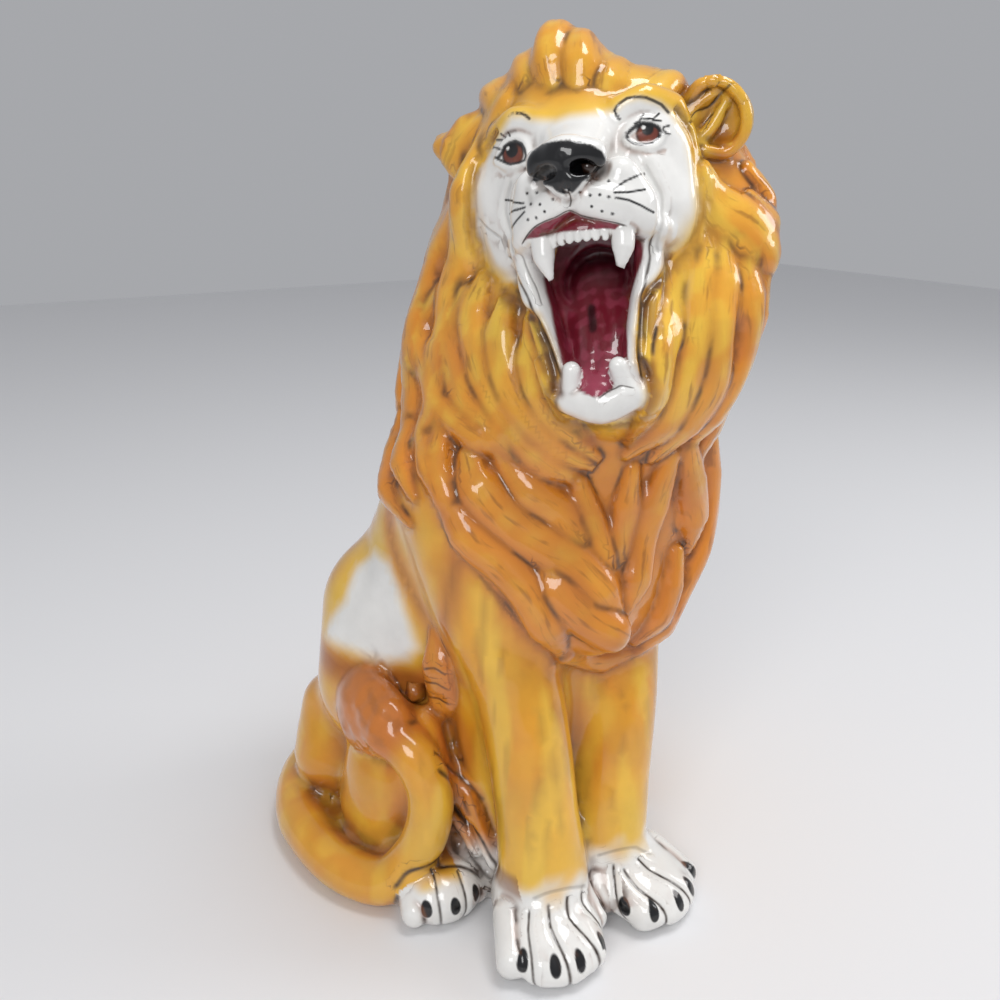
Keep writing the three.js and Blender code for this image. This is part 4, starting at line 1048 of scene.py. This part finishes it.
# the tuft of the tail
tail_tip = np.linalg.norm((p - vec(-132, 2, 150)) / (1.1, 1.3, 1.0), axis=1)
on_tip = fall(tail_tip, 34, 48) * (kinds == "tail")
airbrush(RUSSET, 0.95 * on_tip)
airbrush(BROWN, 0.3 * on_tip * rise(mottle(12), 0.5, 0.9))
wrinkled = fall(tail_tip, 26, 40) * (kinds == "tail")
p = p + normal * (1.6 * wrinkled * (mottle(13) - 0.5))[:, None]
place_all(skin.data, p)

# the white of the flank, brown below it
white_flank = [
    (44, 274), (66, 253), (62, 228), (78, 203), (80, 188), (39, 190), (14, 186), (-4, 193),
    (-14, 208), (-7, 229), (4, 256), (17, 272),
]
on_flank = (np.abs(x) > 50) & (kinds == "coat")
in_flank = inside(p[:, 1:], white_flank)
below = fall(np.abs(height - 172), 5, 24)
airbrush(YELLOW, 0.7 * on_flank * rise(in_flank, -35, -4))
airbrush(RUSSET, 0.95 * on_flank * below * rise(in_flank, -40, -12))
airbrush(BROWN, 0.5 * on_flank * below**3 * rise(in_flank, -34, -12))
# painted shade along the folds where the front leg meets the body
body_folds = [
    [(-102, 30, 310), (-102, 21, 293), (-102, 3, 269), (-96, -18, 238), (-101, -32, 205), (-95, -16, 175)],
    [(-88, -74, 320), (-91, -68, 299), (-97, -60, 254), (-98, -45, 215), (-96, -48, 170)],
]
for fold in body_folds:
    to_fold = near_line(p, smooth_line(fold))
    airbrush(RUSSET, 0.7 * fall(to_fold, 2, 20) * (kinds == "coat"))
    airbrush(BROWN, 0.45 * fall(to_fold, 0, 7) * (kinds == "coat"))
airbrush(WHITE, on_flank * rise(in_flank, -5, 9))

# the paws
between_paws = (x > -96) & (x < 56)
front_paw = np.maximum(fall(y, -92, -74), between_paws * fall(y, -56, -44))
airbrush(WHITE, front_paw * fall(height + 10 * spots, 50, 74))
hind_paw = (y < -30) & (np.abs(x) > 76) & (kinds != "tail") & (kinds != "lock")
hind_top = 40 - 0.10 * (y + 70)
airbrush(BROWN, 0.7 * hind_paw * fall(np.abs(height - hind_top - 10), 4, 12))
airbrush(WHITE, hind_paw * fall(height + 6 * spots, hind_top - 6, hind_top + 6))

# the face
white_face = [
    (-58, 12), (-52, 17), (-44, 24), (-34, 23), (-28, 19.5), (-12, 16), (-3, 17.5), (7, 17), (22.5, 16.5),
    (30, 21), (40, 22), (52, 17), (60, 9), (68.5, -8), (70.5, -34.5), (70, -56.5), (62, -74), (44.5, -90),
    (33.5, -101), (31, -112), (29.5, -120), (29, -135), (33, -146), (33, -160), (26, -174), (14, -180),
    (-14, -180), (-26, -172), (-31, -157), (-27, -138), (-28, -128), (-32, -117), (-37, -104.5),
    (-62.5, -91), (-79, -75), (-87, -55.5), (-84, -30), (-78, -6), (-68, 4),
]
in_mask = inside(flat, white_face)
of_head = (up > -185) & (ahead > -70)
on_head = rise(ahead, -48, -30) * fall(mane, 0.35, 0.8) * of_head
airbrush(YELLOW, rise(in_mask, -16, 0) * rise(ahead, -60, -40) * (1 - 0.6 * rise(mane, 0.3, 0.9)) * of_head)
airbrush(WHITE, rise(in_mask, -2, 7) * on_head)
cheek_edge = fall(in_mask, 3, 15) * rise(-up, 45, 75) * (ahead < 5)
airbrush(YELLOW, 0.75 * on_head * cheek_edge)
airbrush(AMBER, 0.5 * on_head * fall(in_mask, -8, 5) * (up > 5))
airbrush(YELLOW, 0.7 * (kinds == "cup") * rise(mottle(14), 0.2, 0.7))

# the mouth
gape = [
    (-23, -59.5), (-12, -60.5), (0, -60.5), (12, -60.5), (23, -61), (35, -66), (34, -76), (30.5, -83),
    (26, -92), (21, -103), (19.5, -113.5), (21, -125), (21, -136), (10, -152), (1, -155), (-12, -150),
    (-20, -137), (-21.5, -131.5), (-24, -120.5), (-26, -110.5), (-28, -100.5), (-31, -90),
    (-32.5, -81.5), (-28, -66),
]
in_gape = np.where(ahead > -48, inside(flat, gape), -9)
of_jaws = np.isin(kinds, ("mouth", "tongue"))
airbrush(BURGUNDY, rise(in_gape, -1.0, 0.6) * ((kinds != "tooth") & (ahead < 60)))
airbrush(PINK, 0.55 * rise(in_gape, 0, 3) * rise(mottle(12), 0.5, 0.9) * (kinds != "tooth"))
airbrush(PINK, 0.85 * rise(ahead, 34, 54) * (kinds == "tongue") * (in_gape > 0))
# painted shade, darker further back in the gape
airbrush(MOUTH_DEPTH_SHADE, 0.75 * fall(ahead, -30, 14) * (in_gape > 0))
# painted shade, a black spot deep in the throat
spot = near_line(flat, [(-4, -105), (-2.5, -116)])
airbrush(BLACK, 0.8 * fall(spot, 1.5, 4) * (in_gape > 0))
airbrush(WHITE, kinds == "tooth")
in_lip = rise(inside(flat, lip), -0.6, 0.6) * (ahead > 15)
airbrush(BURGUNDY, in_lip)
airbrush(PINK, 0.4 * in_lip * rise(mottle(9), 0.5, 0.9))
# a dark wash, partly painted shade, where the front teeth close in on each other
tooth_gaps = (np.abs(flat[:, 0] + 1) < 21) & (up < -52) & (up > -61.5) & (kinds == "tooth")
airbrush(WASH_AND_SHADE, 0.75 * tooth_gaps * rise(shut_in(1.6), 0.3, 0.7))

# the dark wash in the grooves, partly painted shade, and painted shade beside the face and jaw and under the
# chin
grooves = rise(narrow, 0.25, 0.75) * (0.35 + 0.65 * rise(mottle(18), 0.4, 0.8))
throat = of_jaws | (in_gape > 2)
airbrush(BROWN, 0.6 * grooves * (kinds != "nose") * ~throat)
airbrush(WASH_AND_SHADE, 0.5 * grooves * (kinds != "nose") * ~throat)
# painted shade in the trench between the face and the ruff, wider and darker beside the jaw
off_face = np.min([near_line(flat, edge) for edge in face_edges], axis=0) + 3 * rise(in_mask, 0, 3)
beside_jaw = rise(-up, 75, 100)
face_edge_shade = fall(off_face, 0.5, 5 + 7 * beside_jaw) * of_head * (ahead > -60)
airbrush(BROWN, (0.35 + 0.5 * beside_jaw) * face_edge_shade * rise(mottle(24), 0.1, 0.5))
jaw_groove_shade = beside_jaw * fall(off_face, 0.5, 5.5) * of_head * (ahead > -60)
airbrush(WASH_AND_SHADE, 0.7 * jaw_groove_shade * rise(mottle(18), 0.2, 0.5))
# painted shadow under the chin
shade_under_chin = (in_mask < 0) * fall(-in_mask, 1, 9) * rise(-up, 140, 158)
airbrush(BROWN, 0.7 * shade_under_chin * of_head * (ahead > -30))
near_share = near_share * ~(throat & ~on_brushed)
for _ in range(3):
    near_share = np.where(on_brushed, near_share, 0.4 * near_share + 0.6 * neighbours_mean(near_share, edges))
line_strength = np.where(on_brushed, line_strength, 0.08 + 0.8 * rise(mottle(22), 0.48, 0.8))

# black
nose = [
    (-26, -21.5), (-24.5, -16), (-23, -9.5), (-20, -5.5), (-14.5, -3), (-6.5, -3), (1.5, -3.5), (8.5, -5),
    (14, -8), (18, -11.5), (19, -15), (17.5, -18), (13.5, -20.5), (8.5, -22), (6, -23), (3.5, -25.5),
    (0.5, -28), (-3.5, -28), (-6.5, -26.5), (-9, -23.5), (-12.5, -22), (-17.5, -21), (-21.5, -20.5),
]
in_nose = inside(flat, nose) + 2.5 * (kinds == "nose")
airbrush(BLACK, rise(in_nose, -0.8, 0.4) * (ahead > 30))
for line in whiskers:
    stroke(BLACK, 1, line, 0.35, 1.0, -10)
for spot in freckles:
    airbrush(BLACK, fall(np.linalg.norm(flat - spot, axis=1), 0.6, 1.3) * (ahead > 10))
# soft grey strokes beside the nose
for line in grey_strokes_by_nose:
    stroke(WASH_AND_SHADE, 0.25, line, 0.3, 3.0, 10)
for eye in eyes:
    in_eye = inside(flat, eye["opening"])
    ball = rise(in_eye, -0.6, 0.4) * (ahead > -16)
    iris, pupil = (np.linalg.norm(flat - eye[ring][0], axis=1) - eye[ring][1] for ring in ("iris", "pupil"))
    over_iris = up - eye["iris"][0][1]
    airbrush(WHITE, ball)
    airbrush(IRIS, ball * fall(iris, -0.6, 0.4))
    airbrush(BLACK, 0.75 * ball * rise(iris, -1.8, -0.6) * fall(iris, 0, 1.0))
    airbrush(BLACK, ball * fall(pupil, -0.5, 0.5))
    airbrush(BLACK, 0.8 * ball * fall(iris, 0, 1) * rise(over_iris, 2.0, 5.0))
    # a painted highlight in each eye
    airbrush(WHITE, ball * fall(np.linalg.norm(flat - eye["light"], axis=1), 0.8, 1.6))
    rim_width = 0.4 + 0.35 * rise(over_iris, -4, 3)
    airbrush(BLACK, 0.95 * fall(np.abs(in_eye) - rim_width, 0, 0.9) * (ahead > -18))
    for lash in eye["lashes"]:
        stroke(BLACK, 1, lash, 0.3, 1.0, -25)
    stroke(BLACK, 0.9, eye["brow"], 0.5, 1.4, -30)
airbrush(BLACK, fall(claw_distance(p), 0.85, 1.05))


def store(attributes, name, kind, value, columns):
    """Keeps values at every point of the skin, for the glaze to read."""
    layer = attributes.new(name, kind, "POINT")
    layer.data.foreach_set(value, np.column_stack(columns).ravel())


attributes = skin.data.attributes
# the paint's alpha is where painted shade may lie beside a crease: everywhere off the brushed lines
store(skin.data.color_attributes, "paint", "FLOAT_COLOR", "color", [np.clip(paint, 0, 1), ~on_brushed])
store(attributes, "hair", "FLOAT_VECTOR", "vector", [along, across * lock_width + 50 * which, combed])
store(attributes, "crease", "FLOAT_VECTOR", "vector", [off_line, near_share, line_strength])
skin.data.polygons.foreach_set("use_smooth", np.ones(len(skin.data.polygons), bool))
skin.data.update()

# The glaze, clear and shining over the paint. It clouds the colours a little, streaks the combed
# hair, lays a dark wash in the brushed lines and in the creases, where it is partly painted shade,
# paints a band of shade beside the creases, and lies in slow waves.
CLOUDS, RIPPLES, SPECKS = 30.0, 60.0, 140.0  # in a metre
STREAKS_ALONG, STREAKS_ACROSS = 0.035, 0.17  # in a millimetre
glaze = bpy.data.materials.new("glazed earthenware")
glaze.use_nodes = True
nodes, links = glaze.node_tree.nodes, glaze.node_tree.links


def fill(node, values):
    """Sets the inputs of a node, or joins them to the outputs of others."""
    for name, value in values.items():
        socket = node.inputs[name]
        if isinstance(value, bpy.types.NodeSocket):
            links.new(value, socket)
        else:
            socket.default_value = value


def stored(name):
    node = nodes.new("ShaderNodeAttribute")
    node.attribute_name = name
    return node.outputs


def parts(name):
    """The three values stored under a name."""
    split = nodes.new("ShaderNodeSeparateXYZ")
    links.new(stored(name)["Vector"], split.inputs[0])
    return split.outputs


def noise(scale, detail, vector):
    texture = nodes.new("ShaderNodeTexNoise")
    fill(texture, {"Scale": scale, "Detail": detail, "Vector": vector})
    return texture.outputs["Fac"]


def combine(kind, a, b):
    node = nodes.new("ShaderNodeMath")
    node.operation = kind
    fill(node, {0: a, 1: b})
    return node.outputs[0]


def times(a, b):
    return combine("MULTIPLY", a, b)


def plus(a, b):
    return combine("ADD", a, b)


def minus(a, b):
    return combine("SUBTRACT", a, b)


def ramp(value, low, high):
    node = nodes.new("ShaderNodeMapRange")
    node.interpolation_type = "SMOOTHSTEP"
    fill(node, {"From Min": low, "From Max": high, "Value": value})
    return node.outputs["Result"]


def blended(base, top, share):
    node = nodes.new("ShaderNodeMix")
    node.data_type = "RGBA"
    fill(node, {"Factor": share, "A": base, "B": (*top, 1)})
    return node.outputs["Result"]


colour = stored("paint")
lengthwise, crosswise, combed_share = parts("hair")
across_line, near_line_share, strength = parts("crease")
place = nodes.new("ShaderNodeTexCoord").outputs["Object"]
streak_place = nodes.new("ShaderNodeCombineXYZ")
fill(streak_place, {0: times(lengthwise, STREAKS_ALONG), 1: times(crosswise, STREAKS_ACROSS)})
streaks = noise(1.0, 2.0, streak_place.outputs[0])
clouds, ripple, specks = noise(CLOUDS, 4.0, place), noise(RIPPLES, 2.0, place), noise(SPECKS, 3.0, place)
off = combine("ABSOLUTE", across_line, 0)
line = times(minus(1.0, ramp(off, 0.2, 3.4)), near_line_share)
line_shade = times(minus(1.0, ramp(off, 0.0, 7.0)), near_line_share)
line_wash_and_shade = times(line, times(strength, plus(0.55, specks)))

tone = nodes.new("ShaderNodeHueSaturation")
fill(tone, {"Color": colour["Color"], "Value": plus(times(clouds, 0.35), 0.83)})
dark_streaks = times(times(ramp(streaks, 0.54, 0.72), combed_share), 0.55)
streaked = blended(tone.outputs["Color"], BROWN, dark_streaks)
# painted shade, russet, in a band beside each crease
shaded = blended(streaked, RUSSET_SHADE, times(times(line_shade, colour["Alpha"]), 0.5))
relief = plus(times(ripple, 0.6), times(times(streaks, combed_share), 0.8))
bump = nodes.new("ShaderNodeBump")
fill(bump, {"Strength": 0.6, "Distance": 0.001, "Height": minus(relief, times(line, 0.8))})
fill(nodes["Principled BSDF"], {
    "Base Color": blended(shaded, WASH_AND_SHADE, line_wash_and_shade), "Normal": bump.outputs["Normal"],
    "Roughness": 0.3, "Specular IOR Level": 0.2, "Coat Weight": 1.0, "Coat Roughness": 0.03,
})
skin.data.materials.clear()
skin.data.materials.append(glaze)
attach(skin, "root")
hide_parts("lion_figure")

# The floor is pale and plain, and soft lamps stand over it, as in a daylit room.
floor_mesh = bpy.data.meshes.new("floor")
work = bmesh.new()
bmesh.ops.create_grid(work, x_segments=1, y_segments=1, size=4)
work.to_mesh(floor_mesh)
work.free()
floor = bpy.data.objects.new("floor", floor_mesh)
bpy.context.scene.collection.objects.link(floor)
stone = bpy.data.materials.new("pale floor")
stone.use_nodes = True
stone_body = stone.node_tree.nodes["Principled BSDF"].inputs
stone_body["Base Color"].default_value = (0.80, 0.80, 0.81, 1)
stone_body["Roughness"].default_value = 0.5
floor.data.materials.append(stone)


def lamp(name, place, aim, size, power):
    light = bpy.data.lights.new(name, "AREA")
    light.size = size
    light.energy = power
    thing = bpy.data.objects.new(name, light)
    thing.location = place
    thing.rotation_euler = (Vector(aim) - Vector(place)).to_track_quat("-Z", "Y").to_euler()
    bpy.context.scene.collection.objects.link(thing)


lamp("window", (-1.8, -1.9, 2.0), (0, 0, 0.35), 1.3, 34)
lamp("ceiling", (0.4, -0.5, 2.6), (0, 0, 0.3), 1.0, 26)
lamp("far side", (2.2, -0.8, 1.4), (0, 0, 0.35), 1.0, 14)
world = bpy.data.worlds.new("room")
world.use_nodes = True
daylight = world.node_tree.nodes["Background"].inputs
daylight["Color"].default_value = (0.62, 0.63, 0.66, 1)
daylight["Strength"].default_value = 0.62
bpy.context.scene.world = world
bpy.context.scene.view_settings.view_transform = "Standard"
